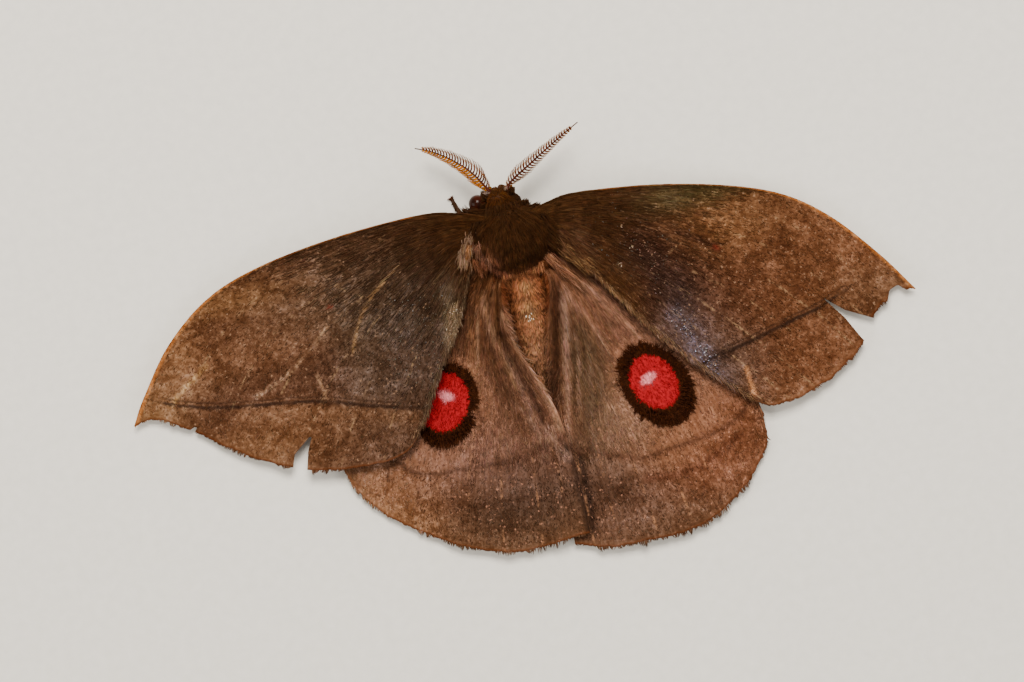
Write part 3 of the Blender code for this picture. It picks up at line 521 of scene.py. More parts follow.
MARKS = {
    # wing: list of (name, paint, half width, strength, line)
    "forewing_left": [
        ("pale vein", "#967450", 0.08, 0.75,
         [(-12.3, -1), (-13.6, -2), (-15.4, -3.3), (-17.2, -5.2), (-18.3, -7.1), (-19.2, -9.2)]),
        ("outer pale vein", "#8a6a50", 0.09, 0.8,
         [(-21.2, -5.8), (-23.8, -8), (-26.7, -10.1), (-30.5, -11.7)]),
        ("short pale vein", "#8a6a50", 0.09, 0.75, [(-23.4, -10.8), (-23.2, -12), (-23, -13.3)]),
        ("apex vein", "#9c7648", 0.12, 0.5, [(-35, -7.3), (-37.5, -9), (-39.6, -10.7)]),
        ("pale inner scales", "#8c745c", 0.4, 0.6, [(-7.4, -6.4), (-7.9, -8.1), (-8.6, -10)]),
        ("red dot", "#6e241c", 0.14, 0.6, [(-20.4, -3.8), (-20.6, -3.8)]),
        ("dark line", "#1c0f08", 0.15, 0.4, LINES["forewing_left"][2:]),
        ("band under the line", "#68472f", 0.7, 0.45,
         [(-32, -13.2), (-27, -13.9), (-19, -15.9), (-13.5, -17.6)]),
    ],
    "forewing_right": [
        # painted sheen: the blue-black and violet sheen are painted into the scales' colour
        ("blue-black sheen", "#2c1e1a", 1.7, 0.55, [(12.9, -4.7), (15, -7.9), (16.4, -11)]),
        ("violet sheen", "#56484a", 0.9, 0.5,
         [(15.8, -12.2), (16.9, -15.2), (18.1, -17.7), (19.4, -20)]),
        ("dark streak", "#2c140a", 0.35, 0.7, [(17.5, -3.6), (19.3, -4.8), (21.2, -6)]),
        ("red dot", "#7a2018", 0.2, 0.6, [(21.2, -6.2), (21.4, -6.3)]),
        ("dark line", "#1c0f08", 0.2, 0.55, LINES["forewing_right"][1:]),
        ("pale inner hairs", "#967450", 0.2, 0.75,
         [(9.1, -7.9), (10.8, -11), (12.2, -13.3), (13.9, -15.6), (15.5, -17.8)]),
        ("dark line blot", "#2c1a12", 0.5, 0.5, [(19, -17.7), (20.4, -17.6)]),
        ("torn fold", "#b07c56", 0.17, 0.9, [(21.8, -19.5), (21.9, -21), (22.1, -22.4)]),
    ],
    "hindwing_left": [
        ("crest", "#9c765c", 0.2, 0.75,
         [(-3.6, -5), (-4, -7.5), (-3.8, -10.2), (-3.4, -12.9), (-3, -15.6)]),
        ("edge crest", "#a67e66", 0.26, 0.85,
         [(-2.5, -7.4), (-2.2, -9.8), (-1.5, -12.4), (-0.6, -14.9), (0.1, -17.6), (0.9, -21.4)]),
        # painted shade in the folds: dark fold and valley darken the creases of the pleats
        ("dark fold", "#32190c", 0.28, 0.7,
         [(-3.1, -8.6), (-2.8, -12), (-1.9, -15.4), (-1.1, -18.4), (-0.5, -21.4)]),
        ("valley", "#482a17", 0.6, 0.55, [(-4.9, -9.3), (-4.6, -13.1), (-3.8, -17.4), (-3, -21.3)]),
        ("thin vein", "#a07a60", 0.12, 0.7, [(-4.6, -6.4), (-5.1, -8.2), (-5.7, -10.5), (-6.4, -13.2)]),
        ("short pleat", "#96725e", 0.16, 0.6, [(-3.4, -17.7), (-2.2, -19.5), (-1.3, -22.2)]),
        ("pale streak", "#96694c", 0.4, 0.5, [(-5.6, -8.1), (-6.4, -11.1), (-7.2, -14.1)]),
        ("dark root streak", "#3c2010", 0.45, 0.5, [(-4.7, -3.4), (-5.9, -6.3), (-7.4, -10.7)]),
        ("worn rim of the ring", "#46291a", 0.3, 0.7, [(-7.6, -16.9), (-7.1, -18.5), (-7.4, -20.3)]),
        ("dark arc", "#3a2012", 0.25, 0.6, LINES["hindwing_left"]),
        # painted shadow: a dark line along the left hind wing's lapped inner edge stands in for the
        # shadow there
        ("painted shadow along the seam", "#1c0f08", 0.3, 0.9, [(1, -23.6), (1.6, -26.5), (1.7, -30), (1.7, -33.2)]),
        ("pale seam tufts", "#b08a78", 0.35, 0.8, [(-0.4, -21.6), (0.2, -23.2), (0.9, -24.9)]),
        ("first dash", "#3a2012", 0.14, 0.7, [(-18.1, -22), (-18.4, -23.4)]),
        ("second dash", "#3a2012", 0.14, 0.7, [(-15.3, -24.8), (-15.6, -26.3)]),
        ("third dash", "#3a2012", 0.14, 0.6, [(-11.9, -26.6), (-12.1, -28.2)]),
    ],
    "hindwing_right": [
        ("crest", "#a07a66", 0.26, 0.75,
         [(4.1, -6.3), (3.7, -10), (2.9, -14.6), (2.1, -19.2), (1.5, -22.8)]),
        # painted shade in the fold's crease
        ("dark fold", "#32190c", 0.4, 0.8, [(3.4, -5.8), (2.9, -9.7), (2, -13.9), (1, -19)]),
        ("second pleat", "#96705a", 0.14, 0.65,
         [(4.5, -11), (4.3, -14.2), (3.7, -17.3), (3.1, -20.6)]),
        ("third pleat", "#906c56", 0.14, 0.55, [(5.4, -14), (5.1, -17.3), (4.5, -20.3), (3.9, -23.3)]),
        # painted shade beside the pleat
        ("shade by the pleat", "#38200f", 0.16, 0.6,
         [(4, -12), (3.8, -14.4), (3.2, -17.5), (2.6, -20.6)]),
        ("thin fan vein", "#ac8068", 0.12, 0.65, [(4.3, -6.3), (5.5, -8.8), (6.4, -11.2), (7.5, -14)]),
        ("outer fan vein", "#b4886e", 0.13, 0.75,
         [(5.4, -5.6), (7.8, -8.1), (9.7, -11), (11.3, -13.9)]),
        # painted shade between the fan veins
        ("fan shade", "#4e2f20", 0.22, 0.55, [(4.9, -6.8), (6.9, -10.2), (8.3, -13.2), (9, -15.6)]),
        ("first fan streak", "#9a6a50", 0.5, 0.5,
         [(4.5, -5.8), (6.2, -9.6), (7.8, -12.5), (8.8, -15.2)]),
        ("second fan streak", "#9e725c", 0.6, 0.55,
         [(6.6, -6.5), (9.3, -10), (11.6, -12.7), (13.6, -15)]),
        # partly the fold's own olive scales, partly painted shade in its valley
        ("olive valley", "#46311e", 0.9, 0.5,
         [(4.6, -11.5), (4.8, -14.5), (4.7, -18.4), (4, -22.1), (3, -25)]),
        # painted shadow of the left hind wing's lapped edge on the right one
        ("shade beside the lap", "#1c0f08", 0.35, 0.8,
         [(2.3, -25), (2.4, -28), (2.3, -31), (2, -33.6)]),
        ("dark arc", "#4a2a1a", 0.3, 0.6, LINES["hindwing_right"]),
        ("second arc", "#4a2616", 0.4, 0.6, [(9, -29), (12.6, -29.2), (16.2, -28.4), (19.4, -26.6)]),
    ],
}
RIM_PAINT = "#985a26"
# clouds of light and dark: size and share of each
BLOTCHES = [(3.4, 0.7), (1.5, 0.6), (0.7, 0.45)]
BLOTCH_DEPTH = {"fore": 0.42, "hind": 0.3}
BLOTCH_FROM = {"fore": (0.1, 0.3), "hind": (0.55, 0.8)}
LINE_STEPS = 60


def ellipse_distance(x, y, centre, turn, half):
    """The distance from a centre, which is 1 on the ellipse."""
    angle = math.radians(turn)
    dx, dy = x - centre[0], y - centre[1]
    along = dx * math.cos(angle) + dy * math.sin(angle)
    aside = dy * math.cos(angle) - dx * math.sin(angle)
    return np.hypot(along / half[0], aside / half[1])


def line_away(x, y, points):
    """The distance from a curved line."""
    line = smooth_line(points)(np.linspace(0, 1, LINE_STEPS))
    return np.hypot(x[..., None] - line[:, 0], y[..., None] - line[:, 1]).min(axis=-1)


def wing_tint(wing, u, v):
    """The paint of a wing's scales at its places, in linear light."""
    x, y = np.moveaxis(wing.flat(u, v), -1, 0)
    stops = ALONG[wing.name]
    stop_paints = np.array([paint(code) for _, code in stops])
    tint = np.stack([np.interp(v, [stop for stop, _ in stops], stop_paints[:, k]) for k in range(3)], -1)
    total = np.ones(np.shape(u))
    for _, code, spot_x, spot_y, wide, deep, strength in SPOTS[wing.name]:
        weight = strength * hump(x, spot_x, 1.4 * wide) * hump(y, spot_y, 1.4 * deep)
        tint = tint + weight[..., None] * paint(code)
        total = total + weight
    tint = tint / total[..., None]
    waver = 0.25 * cloud(x, y, 0.9, wing.seed + 11)
    for _, code, half, strength, points in MARKS[wing.name]:
        away = line_away(x, y, points) + waver * half
        tint = blend(tint, paint(code), strength * hump(away, 0.0, 1.3 * half))
    blotch = sum(share * cloud(x, y, size, wing.seed + 13 + k)
                 for k, (size, share) in enumerate(BLOTCHES))
    depth = BLOTCH_DEPTH[wing.kind] * ramp(*BLOTCH_FROM[wing.kind], v)
    tint = tint * toned(np.exp(depth * blotch))
    if wing.kind == "fore":
        width = 0.22 + 0.3 * ramp(0.4, 0.75, v)
        strength = 0.55 * ramp(0.1, 0.2, v) + 0.15 * ramp(0.35, 0.6, v)
        on_rim = ramp(width, 0.6 * width, u * wing.chord(v))
        tint = blend(tint, paint(RIM_PAINT), strength * on_rim)
    return tint


def spot_distance(wing, x, y):
    """The distance from the eyespot's centre, 1 at its rim, or far on a forewing."""
    if wing.name not in EYESPOTS:
        return np.full(np.shape(x), FAR)
    spot = EYESPOTS[wing.name]
    return ellipse_distance(x, y, spot["centre"], spot["turn"], spot["half"])


def worn_off(x, y):
    """Where the ring of the left eyespot has lost its black scales."""
    ragged = 0.35 * cloud(x, y, 0.45, 21)
    return ellipse_distance(x, y, WORN_SPOT, 0, WORN_HALF) + ragged < 0.85


def marked_tint(wing, u, v):
    """The paint with the eyespot on it, for hair that grows there."""
    tint = wing_tint(wing, u, v)
    if wing.name in EYESPOTS:
        spot = EYESPOTS[wing.name]
        x, y = np.moveaxis(wing.flat(u, v), -1, 0)
        tint[(spot_distance(wing, x, y) < 1) & ~worn_off(x, y)] = paint(SPOT_BLACK)
        red = ellipse_distance(x, y, spot["red_centre"], spot["turn"], spot["red_half"])
        tint[red < 1] = paint(SPOT_RED)
        shaken = 0.5 * cloud(x, y, 0.5, wing.seed + 12)
        pupil = ellipse_distance(x, y, PUPILS[wing.name], spot["turn"], PUPIL_HALF)
        tint = blend(tint, paint(SPOT_PUPIL), ramp(1.5, 0.5, pupil + shaken))
    return tint


middle = marked_tint(wings["hindwing_right"], np.array([0.5]), np.array([0.9]))
print("hind wing near its rim, linear:", middle.round(3))

# %% [markdown]
# ## The dark line and the tears
#
# A thin dark line crosses each wing, and the forewings are torn at their margins. The distance from
# the line is worked out for every corner, so that the paint can waver round it. A tear is a flat
# outline, which is cut out of the sheet and kept free of hair.

# %% Dark lines and tears
TEARS = {
    # wing: outline of each tear
    "forewing_left": [
        [(-28.5, -21.2), (-27.6, -18.6), (-25.2, -16.7), (-26.1, -18.6), (-26.9, -21.6)],
        [(-38.4, -14.6), (-38.1, -13.7), (-37.1, -13.2), (-37.7, -14.1), (-37.8, -15)],
    ],
    "forewing_right": [
        [(37.9, -18.9), (36.3, -17.1), (33.6, -15.7), (31.4, -13.8), (33.4, -16.5), (34.8, -19.2),
         (36.6, -20.4)],
        [(42, -16.6), (40.8, -15.2), (39.7, -14.2), (38.7, -14.6), (38.2, -15.9), (38.4, -17.4)],
    ],
}


def line_distance(wing, x, y):
    """The distance from the wing's dark line, below zero on the body's side of it."""
    t = np.linspace(0, 1, 4 * LINE_STEPS)
    line = smooth_line(LINES[wing.name])(t)
    ahead = np.gradient(line, axis=0)
    ahead /= np.linalg.norm(ahead, axis=1)[:, None]
    away = np.hypot(x[:, None] - line[:, 0], y[:, None] - line[:, 1])
    nearest = away.argmin(axis=1)
    dx, dy = x - line[nearest, 0], y - line[nearest, 1]
    side = ahead[nearest, 0] * dy - ahead[nearest, 1] * dx
    outward = -np.sign(line[-1, 0] - line[0, 0])
    return away[np.arange(len(x)), nearest] * np.sign(side) * outward


def inside_outline(x, y, outline):
    """Whether places lie inside a flat outline."""
    inside = np.zeros(len(x), bool)
    for (ax, ay), (bx, by) in zip(outline, outline[1:] + outline[:1]):
        crosses = (ay > y) != (by > y)
        inside ^= crosses & (x < (bx - ax) * (y - ay) / (by - ay) + ax)
    return inside


def nearest_on_outline(spot, outline):
    """The nearest place on a flat outline."""
    found = []
    for start, end in zip(outline, outline[1:] + outline[:1]):
        start, end = Vector(start), Vector(end)
        share = (spot - start).dot(end - start) / (end - start).length_squared
        found.append(start.lerp(end, max(0.0, min(1.0, share))))
    return min(found, key=lambda place: (place - spot).length)


print("tears:", {name: len(found) for name, found in TEARS.items()})

# %% [markdown]
# ## Making the wing sheets
#
# A grid is the natural start for a membrane: `create_grid` gives columns along the veins and rows
# across them, and every corner is then placed by the wing's surface. Faces inside a tear are
# deleted and the new rim is pulled onto the tear's outline. A Solidify modifier gives the sheet
# its thickness, which on the real wing is a tenth of a millimetre with the scales on.

# %% Sheets
COLUMNS, ROWS = 100, 150
MEMBRANE = 0.1
TEAR_PULL = 0.4
UV_ACROSS, UV_ALONG = 25.0, 40.0


def set_attribute(mesh, name, values):
    """Stores a number at each corner of a mesh, or a colour, which gets a fourth channel of 1."""
    kind, key = "FLOAT", "value"
    if values.ndim > 1:
        kind, key = "FLOAT_COLOR", "color"
        values = np.concatenate([values, np.ones((*values.shape[:-1], 1))], axis=-1)
    attribute = mesh.attributes.new(name, kind, "POINT")
    attribute.data.foreach_set(key, values.astype(np.float32).ravel())


def tear_sheet(sheet, outline):
    """Opens a tear in a flat sheet and pulls the rim onto its outline."""
    middles = np.array([face.calc_center_median() for face in sheet.faces])
    torn = inside_outline(middles[:, 0], middles[:, 1], outline)
    torn_faces = [face for face, gone in zip(sheet.faces, torn) if gone]
    bmesh.ops.delete(sheet, geom=torn_faces, context="FACES")
    for vert in sheet.verts:
        if vert.is_boundary:
            spot = Vector(vert.co.xy)
            place = nearest_on_outline(spot, outline)
            if (place - spot).length < TEAR_PULL:
                vert.co.x, vert.co.y = place


def mottling(wing, u, v):
    """How much each scale differs from its neighbours: a hind wing is even but for its outer field."""
    if wing.kind == "fore":
        return 0 * u + 1.0
    return 0.4 + 0.55 * ramp(0.74, 0.86, v) * ramp(0.95, 0.7, u)


def make_wing(wing, material):
    """A wing's sheet with its relief, its tears and its markings."""
    sheet = bmesh.new()
    bmesh.ops.create_grid(sheet, x_segments=COLUMNS, y_segments=ROWS, size=0.5)
    across, outward = (sheet.verts.layers.float.new(key) for key in ("across", "outward"))
    u, v = (np.array([vert.co.xy for vert in sheet.verts]) + 0.5).T
    for vert, spot, a, b in zip(sheet.verts, wing.at(u, v), u, v):
        vert.co = spot
        vert[across], vert[outward] = a, b
    for outline in TEARS.get(wing.name, []):
        tear_sheet(sheet, outline)
    if wing.name.endswith("left"):
        bmesh.ops.reverse_faces(sheet, faces=sheet.faces)
    u = np.array([vert[across] for vert in sheet.verts])
    v = np.array([vert[outward] for vert in sheet.verts])
    x, y = np.array([vert.co.xy for vert in sheet.verts]).T
    grid_map = sheet.loops.layers.uv.new("Wing")
    for face in sheet.faces:
        for loop in face.loops:
            loop[grid_map].uv = (loop.vert[across] * UV_ACROSS, loop.vert[outward] * UV_ALONG)
    sheet.transform(TO_SCENE)
    mesh = as_mesh(wing.name, sheet)
    set_attribute(mesh, "tint", wing_tint(wing, u, v))
    set_attribute(mesh, "mottling", mottling(wing, u, v))
    set_attribute(mesh, "line_mm", line_distance(wing, x, y))
    set_attribute(mesh, "vein_mm", wing.vein_distance(u, v))
    set_attribute(mesh, "edge_mm", (1 - v) * wing.span(u))
    piece = in_scene(wing.name + "_sheet", mesh, material)
    thicken = piece.modifiers.new("thickness", "SOLIDIFY")
    thicken.thickness = MEMBRANE * MM
    thicken.offset = 0.0
    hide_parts(wing.name)
    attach(piece, "root")
    return piece

# %% [markdown]
# ## The finish of wing scales
#
# Wing scales are flat chitin dust laid like roof tiles: dry, almost without gloss, each scale a
# slightly different brown, with a few pale or pink ones between them that catch the light. A real
# scale is about 0.1 mm wide. That is as fine as the render can show, so the cells here are drawn
# at 0.17 mm. Voronoi cells give one random value to each scale, and clouds of noise group them.

# %% Wing scales
SCALE_WIDTH = 0.17
SCALE_PATCH = 0.7
CLOUD_SIZE = 2.4
STREAK_WIDTH, STREAK_LENGTH = 0.3, 4.5
SPECK = {"fore": "#846650", "hind": "#a0705a"}
VEIN_PALE = {"fore": "#84694c", "hind": "#94684a"}
LINE_LAYERS = {
    # kind: middle beyond the line, half width, strength and paint
    "fore": [(0.3, 0.3, 0.85, "#1e1009"), (-0.2, 0.17, 0.6, "#26150c")],
    "hind": [(0.25, 0.3, 0.3, "#1c0f08")],
}
EDGE_WARM = "#5a2c10"
STREAK_SHARE = {"fore": 0.3, "hind": 0.6}
TONES = [
    # value of the noise and share of light: single scales, patches, clouds and streaks
    [(0.0, 0.68), (0.3, 0.88), (0.7, 1.03), (0.9, 1.2), (1.0, 1.45)],
    [(0.32, 0.55), (0.5, 0.96), (0.66, 1.45)],
    [(0.3, 0.72), (0.7, 1.28)],
    [(0.33, 0.55), (0.5, 0.96), (0.68, 1.45)],
]


def ellipse_socket(add, place, centre, turn, half):
    """The distance from a centre over a wing, which is 1 on the ellipse, as a socket."""
    middle = (centre[0] + SHIFT.x, centre[1] + SHIFT.y, 0.0)
    turned = add("Mapping", {"Vector": place, "Location": middle, "Scale": (*half, 1000.0),
                             "Rotation": (0.0, 0.0, math.radians(turn))}, vector_type="TEXTURE")
    return add("VectorMath", {0: turned}, out="Value", operation="LENGTH")


def add_eyespot(add, place, colour, tone, name):
    """Paints the black ring, the red field and the pale pupil over a colour, worn in one place."""
    spot, bare = EYESPOTS[name], colour
    hairs = add("TexNoise", {"Vector": place, "Scale": 3.2, "Detail": 3.0, "Roughness": 0.75})
    layers = [
        # centre, half sizes, how far the rim wavers, paint and how soft the rim is
        (spot["centre"], spot["half"], 0.2, SPOT_BLACK, 0.04),
        (spot["red_centre"], spot["red_half"], 0.16, SPOT_RED, 0.05),
        (PUPILS[name], PUPIL_HALF, 1.5, SPOT_PUPIL, 0.35),
    ]
    for centre, half, waver, code, soft in layers:
        away = ellipse_socket(add, place, centre, spot["turn"], half)
        shaken = add("Math", {0: hairs, 1: waver, 2: away}, operation="MULTIPLY_ADD")
        edge = 1.0 + waver / 2
        mask = add("MapRange", {0: shaken, 1: edge + soft, 2: edge - soft})
        dusted = add("Mix", {0: 0.35, 6: (*paint(code), 1), 7: tone}, out=2, data_type="RGBA",
                     blend_type="MULTIPLY")
        colour = add("Mix", {0: mask, 6: colour, 7: dusted}, out=2, data_type="RGBA")
    if name == "hindwing_left":
        away = ellipse_socket(add, place, WORN_SPOT, 0, WORN_HALF)
        flecks = add("TexNoise", {"Vector": place, "Scale": 2.6, "Detail": 4.0, "Roughness": 0.8})
        worn = add("Math", {0: away, 1: -0.12, 2: flecks}, operation="MULTIPLY_ADD")
        mask = add("MapRange", {0: worn, 1: 0.4, 2: 0.5, 4: 0.85})
        colour = add("Mix", {0: mask, 6: colour, 7: bare}, out=2, data_type="RGBA")
    return colour


def wing_scales(wing):
    """Dry scales in the wing's own zones of colour, with its line, veins, rim and eyespot."""
    material, add = new_material("wing_scales_" + wing.name)
    object_place = add("TexCoord", out="Object")
    place = add("VectorMath", {0: object_place, 3: 1 / MM}, operation="SCALE")
    middle_away, lot = add("TexVoronoi", {"Vector": place, "Scale": 1 / SCALE_WIDTH}, out=slice(2))
    tone_lot, speck_lot, gloss_lot = add("SeparateColor", {0: lot}, out=slice(3))
    patches = add("TexNoise", {"Vector": place, "Scale": 1 / SCALE_PATCH, "Detail": 3.0,
                               "Roughness": 0.65})
    clouds = add("TexNoise", {"Vector": place, "Scale": 1 / CLOUD_SIZE, "Detail": 2.0})
    grid = add("UVMap", uv_map="Wing")
    drawn = add("Mapping", {"Vector": grid, "Scale": (1 / STREAK_WIDTH, 1 / STREAK_LENGTH, 1)})
    streaks = add("TexNoise", {"Vector": drawn, "Scale": 1.0, "Detail": 3.0, "Roughness": 0.6})

    colour = add("Attribute", attribute_name="tint")
    share = add("Attribute", out="Fac", attribute_name="mottling")
    tones = [add("ValToRGB", {0: source}, [(stop, toned(light)) for stop, light in stops])
             for source, stops in zip((tone_lot, patches, clouds, streaks), TONES)]
    for tone, part in zip(tones, (share, share, share, STREAK_SHARE[wing.kind])):
        colour = add("Mix", {0: part, 6: colour, 7: tone}, out=2, data_type="RGBA",
                     blend_type="MULTIPLY")

    # MapRange reads from 1 to 2 and gives from 3 to 4
    chance = add("Math", {0: patches, 1: 0.35, 2: speck_lot}, operation="MULTIPLY_ADD")
    specks = add("MapRange", {0: chance, 1: 1.12, 2: 1.2, 4: 0.7})
    pale = add("Math", {0: clouds, 1: patches}, operation="MULTIPLY")
    shown = add("MapRange", {0: pale, 1: 0.24, 2: 0.38, 4: 0.75})
    from_vein = add("Attribute", out="Fac", attribute_name="vein_mm")
    on_vein = add("MapRange", {0: from_vein, 1: 0.16, 2: 0.06})
    on_vein = add("Math", {0: on_vein, 1: shown}, operation="MULTIPLY")
    layers = [(specks, SPECK[wing.kind]), (on_vein, VEIN_PALE[wing.kind])]
    from_line = add("Attribute", out="Fac", attribute_name="line_mm")
    shaken = add("Math", {0: patches, 1: 0.5, 2: from_line}, operation="MULTIPLY_ADD")
    broken = add("MapRange", {0: clouds, 1: 0.38, 2: 0.52, 3: 0.35, 4: 1.0})
    for middle, width, strength, code in LINE_LAYERS[wing.kind]:
        off = add("Math", {0: shaken, 1: middle}, operation="SUBTRACT")
        off = add("Math", {0: off}, operation="ABSOLUTE")
        on_line = add("MapRange", {0: off, 1: width, 2: 0.3 * width, 4: strength})
        layers.append((add("Math", {0: on_line, 1: broken}, operation="MULTIPLY"), code))
    from_edge = add("Attribute", out="Fac", attribute_name="edge_mm")
    layers.append((add("MapRange", {0: from_edge, 1: 0.3, 2: 0.05, 4: 0.6}), EDGE_WARM))
    for mask, code in layers:
        colour = add("Mix", {0: mask, 6: colour, 7: (*paint(code), 1)}, out=2, data_type="RGBA")
    if wing.name in EYESPOTS:
        colour = add_eyespot(add, place, colour, tones[0], wing.name)

    relief = add("Math", {0: middle_away, 1: 0.7, 2: streaks}, operation="MULTIPLY_ADD")
    bump = add("Bump", {"Strength": 0.5, "Distance": 0.06 * MM, "Height": relief})
    gloss = add("MapRange", {0: gloss_lot, 1: 0.0, 2: 1.0, 3: 0.85, 4: 0.55})
    shader = add("BsdfPrincipled", {"Base Color": colour, "Roughness": gloss, "Normal": bump,
                                    "Specular IOR Level": 0.05})
    add("OutputMaterial", {"Surface": shader})
    return material


sheets = {name: make_wing(wing, wing_scales(wing)) for name, wing in wings.items()}
for name, piece in sheets.items():
    print(piece.name, len(piece.data.polygons), "faces")

# %% [markdown]
# ## Tufts of hair
#
# Moth hair is long, flat scales. Each tuft here is a closed blade with three sides that tapers to
# a point and bends along a given path. All tufts of one coat are one mesh, written from arrays,
# because thousands of single objects would be slow. Every tuft keeps the colour of its root in the
# attribute `tint`, and its own small patch in the map OFBake, at its root's place on an unwrap.

# %% One coat from many tufts
AT_ONCE = 2000


def gathered(paths, per_lock, pull, draw):
    """Draws the tips of neighbouring tufts together into locks, as hair clings."""
    leaders = draw.choice(len(paths), max(1, len(paths) // per_lock), replace=False)
    nearest = np.empty(len(paths), int)
    for start in range(0, len(paths), AT_ONCE):
        roots = paths[start:start + AT_ONCE, 0]
        away = np.linalg.norm(roots[:, None] - paths[leaders, 0][None], axis=-1)
        nearest[start:start + AT_ONCE] = leaders[away.argmin(axis=1)]
    shares = (pull * np.linspace(0, 1, paths.shape[1]) ** 1.3)[None, :, None]
    return paths * (1 - shares) + paths[nearest] * shares


PATCH = 0.003
# painted shade and light along each tuft: its paint is darkened at the root, where it lies in the shade
# of the coat, and lightened at the tip
ROOT_PAINTED_SHADE, TIP_PAINTED_LIGHT = 0.62, 1.12
SIDES = 3
UPRIGHT = (0.0, 0.0, 1.0)
# how far along a tuft each of its four places is
TUFT_STEPS = np.linspace(0, 1, 4)[None, :, None]


def unit(vectors):
    """Vectors of length 1 in the same directions."""
    return vectors / np.maximum(np.linalg.norm(vectors, axis=-1, keepdims=True), 1e-9)


def add_coat(name, paths, widths, tints, patches, material, ups=UPRIGHT, thickness=0.45):
    """One mesh of tapered tufts along paths of a few places each, in the moth's millimetres."""
    count, steps = paths.shape[:2]
    rings = steps - 1
    ahead = unit(np.gradient(paths, axis=1)[:, :rings])
    aside = unit(np.cross(ahead, np.broadcast_to(ups, (count, 3))[:, None]))
    above = np.cross(aside, ahead)
    taper = (1 - np.linspace(0, 1, steps)[:rings] ** 1.6)[None, :, None] * widths[:, None, None] / 2
    corners = [(-1.0, 0.0), (1.0, 0.0), (0.0, 1.0)]
    ring_places = [paths[:, :rings] + aside * taper * a + above * taper * b * 2 * thickness
                   for a, b in corners]
    ring_places = np.stack(ring_places, axis=2).reshape(count, rings * SIDES, 3)
    places = np.concatenate([ring_places, paths[:, -1:]], axis=1)
    per_tuft = rings * SIDES + 1

    quads = [(r * SIDES + k, (r + 1) * SIDES + k, (r + 1) * SIDES + (k + 1) % SIDES,
              r * SIDES + (k + 1) % SIDES) for r in range(rings - 1) for k in range(SIDES)]
    last = (rings - 1) * SIDES
    points = [(last + (k + 1) % SIDES, last + k, rings * SIDES) for k in range(SIDES)]
    loops = np.array([index for face in [(0, 1, 2)] + quads + points for index in face])
    sizes = np.array([3] + [4] * len(quads) + [3] * len(points))
    starts = np.concatenate([[0], np.cumsum(sizes)[:-1]])

    mesh = bpy.data.meshes.new(name)
    mesh.vertices.add(count * per_tuft)
    scene_places = (places.reshape(-1, 3) + np.array(SHIFT)) * MM
    mesh.vertices.foreach_set("co", scene_places.astype(np.float32).ravel())
    offsets = np.arange(count)[:, None]
    mesh.loops.add(count * len(loops))
    mesh.loops.foreach_set("vertex_index", (offsets * per_tuft + loops).astype(np.int32).ravel())
    mesh.polygons.add(count * len(sizes))
    mesh.polygons.foreach_set("loop_start", (offsets * len(loops) + starts).astype(np.int32).ravel())
    mesh.polygons.foreach_set("use_smooth", np.ones(count * len(sizes), bool))
    mesh.update(calc_edges=True)

    along = np.append(np.repeat(np.arange(rings) / rings, SIDES), 1.0)
    around = np.append(np.tile(np.arange(SIDES) / SIDES, rings), 0.5)
    # painted shade at each tuft's root and painted light at its tip
    shade = ROOT_PAINTED_SHADE + (TIP_PAINTED_LIGHT - ROOT_PAINTED_SHADE) * along**0.7
    set_attribute(mesh, "tint", tints[:, None] * shade[None, :, None])
    bake = mesh.uv_layers.new(name="OFBake")
    local = np.stack([around, along], axis=-1)[loops] * PATCH
    spread = PATCH + patches * (1 - 3 * PATCH)
    bake.data.foreach_set("uv", (spread[:, None] + local).astype(np.float32).ravel())
    piece = in_scene(name, mesh, material)
    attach(piece, "root")
    print(name, count, "tufts,", count * (int(sizes.sum()) - 2 * len(sizes)), "triangles")

# %% [markdown]
# ## The finish of hair scales
#
# Hair scales are dry chitin too, but long and grooved, so they gleam softly and have no clear
# highlight. A high roughness and little specular light give that. The colour comes from the tuft's
# root and varies slightly from place to place.

# %% Hair
def hair_scales(name, roughness):
    """Silky hair in the colour of each tuft's root."""
    material, add = new_material(name)
    tint = add("Attribute", attribute_name="tint")
    place = add("TexCoord", out="Object")
    uneven = add("TexNoise", {"Vector": place, "Scale": 1 / (0.9 * MM), "Detail": 2.0})
    tone = add("ValToRGB", {0: uneven}, [(0.3, 0.75), (0.7, 1.25)])
    colour = add("Mix", {0: 1.0, 6: tint, 7: tone}, out=2, data_type="RGBA", blend_type="MULTIPLY")
    shader = add("BsdfPrincipled", {"Base Color": colour, "Roughness": roughness,
                                    "Specular IOR Level": 0.05})
    add("OutputMaterial", {"Surface": shader})
    return material


dark_hair = hair_scales("dark_hair_scales", 0.75)
pale_hair = hair_scales("pale_hair_scales", 0.6)
print("hair materials:", dark_hair.name, pale_hair.name)

# %% [markdown]
# ## One skin for the body
#
# The body under the hair is one surface: head, thorax, abdomen, palps and legs grow out of each
# other without a seam. Copies of the solids, drawn in a little, are joined with an ellipsoid for
# the thorax's core and two for the neck and the waist. A voxel remesh melts them into one skin,
# which is how a clay figure is built up, and smoothing takes the steps away.

# %% Skin
THORAX_CENTRE, THORAX_RADII = Vector((0.1, -0.9, 5.2)), Vector((3.65, 3.45, 3.45))
HEAD_CENTRE, HEAD_RADII = Vector((-0.6, 3.35, 4.3)), Vector((2.2, 1.6, 1.9))
LEG_NODES = [f"leg_{row}_{side}" for row in ("fore", "mid", "hind") for side in ("left", "right")]
BRIDGE = 0.2
COAT_DEPTH = {"abdomen": 0.3, "head": 0.25, "palp_left": 0.1, "palp_right": 0.1}
LEG_COAT_DEPTH = 0.05
PALP_ROOT_Y, PALP_TUCK = 4.4, 0.72
CORES = [(THORAX_CENTRE, THORAX_RADII - Vector((0.15, 0.15, 0.15))),
         (Vector((-0.2, 2.2, 4.6)), Vector((1.7, 1.5, 1.6))),
         (Vector((0.35, -3.6, 4.6)), Vector((1.4, 1.3, 1.4)))]
VOXEL = 0.13
SMOOTHINGS = 4


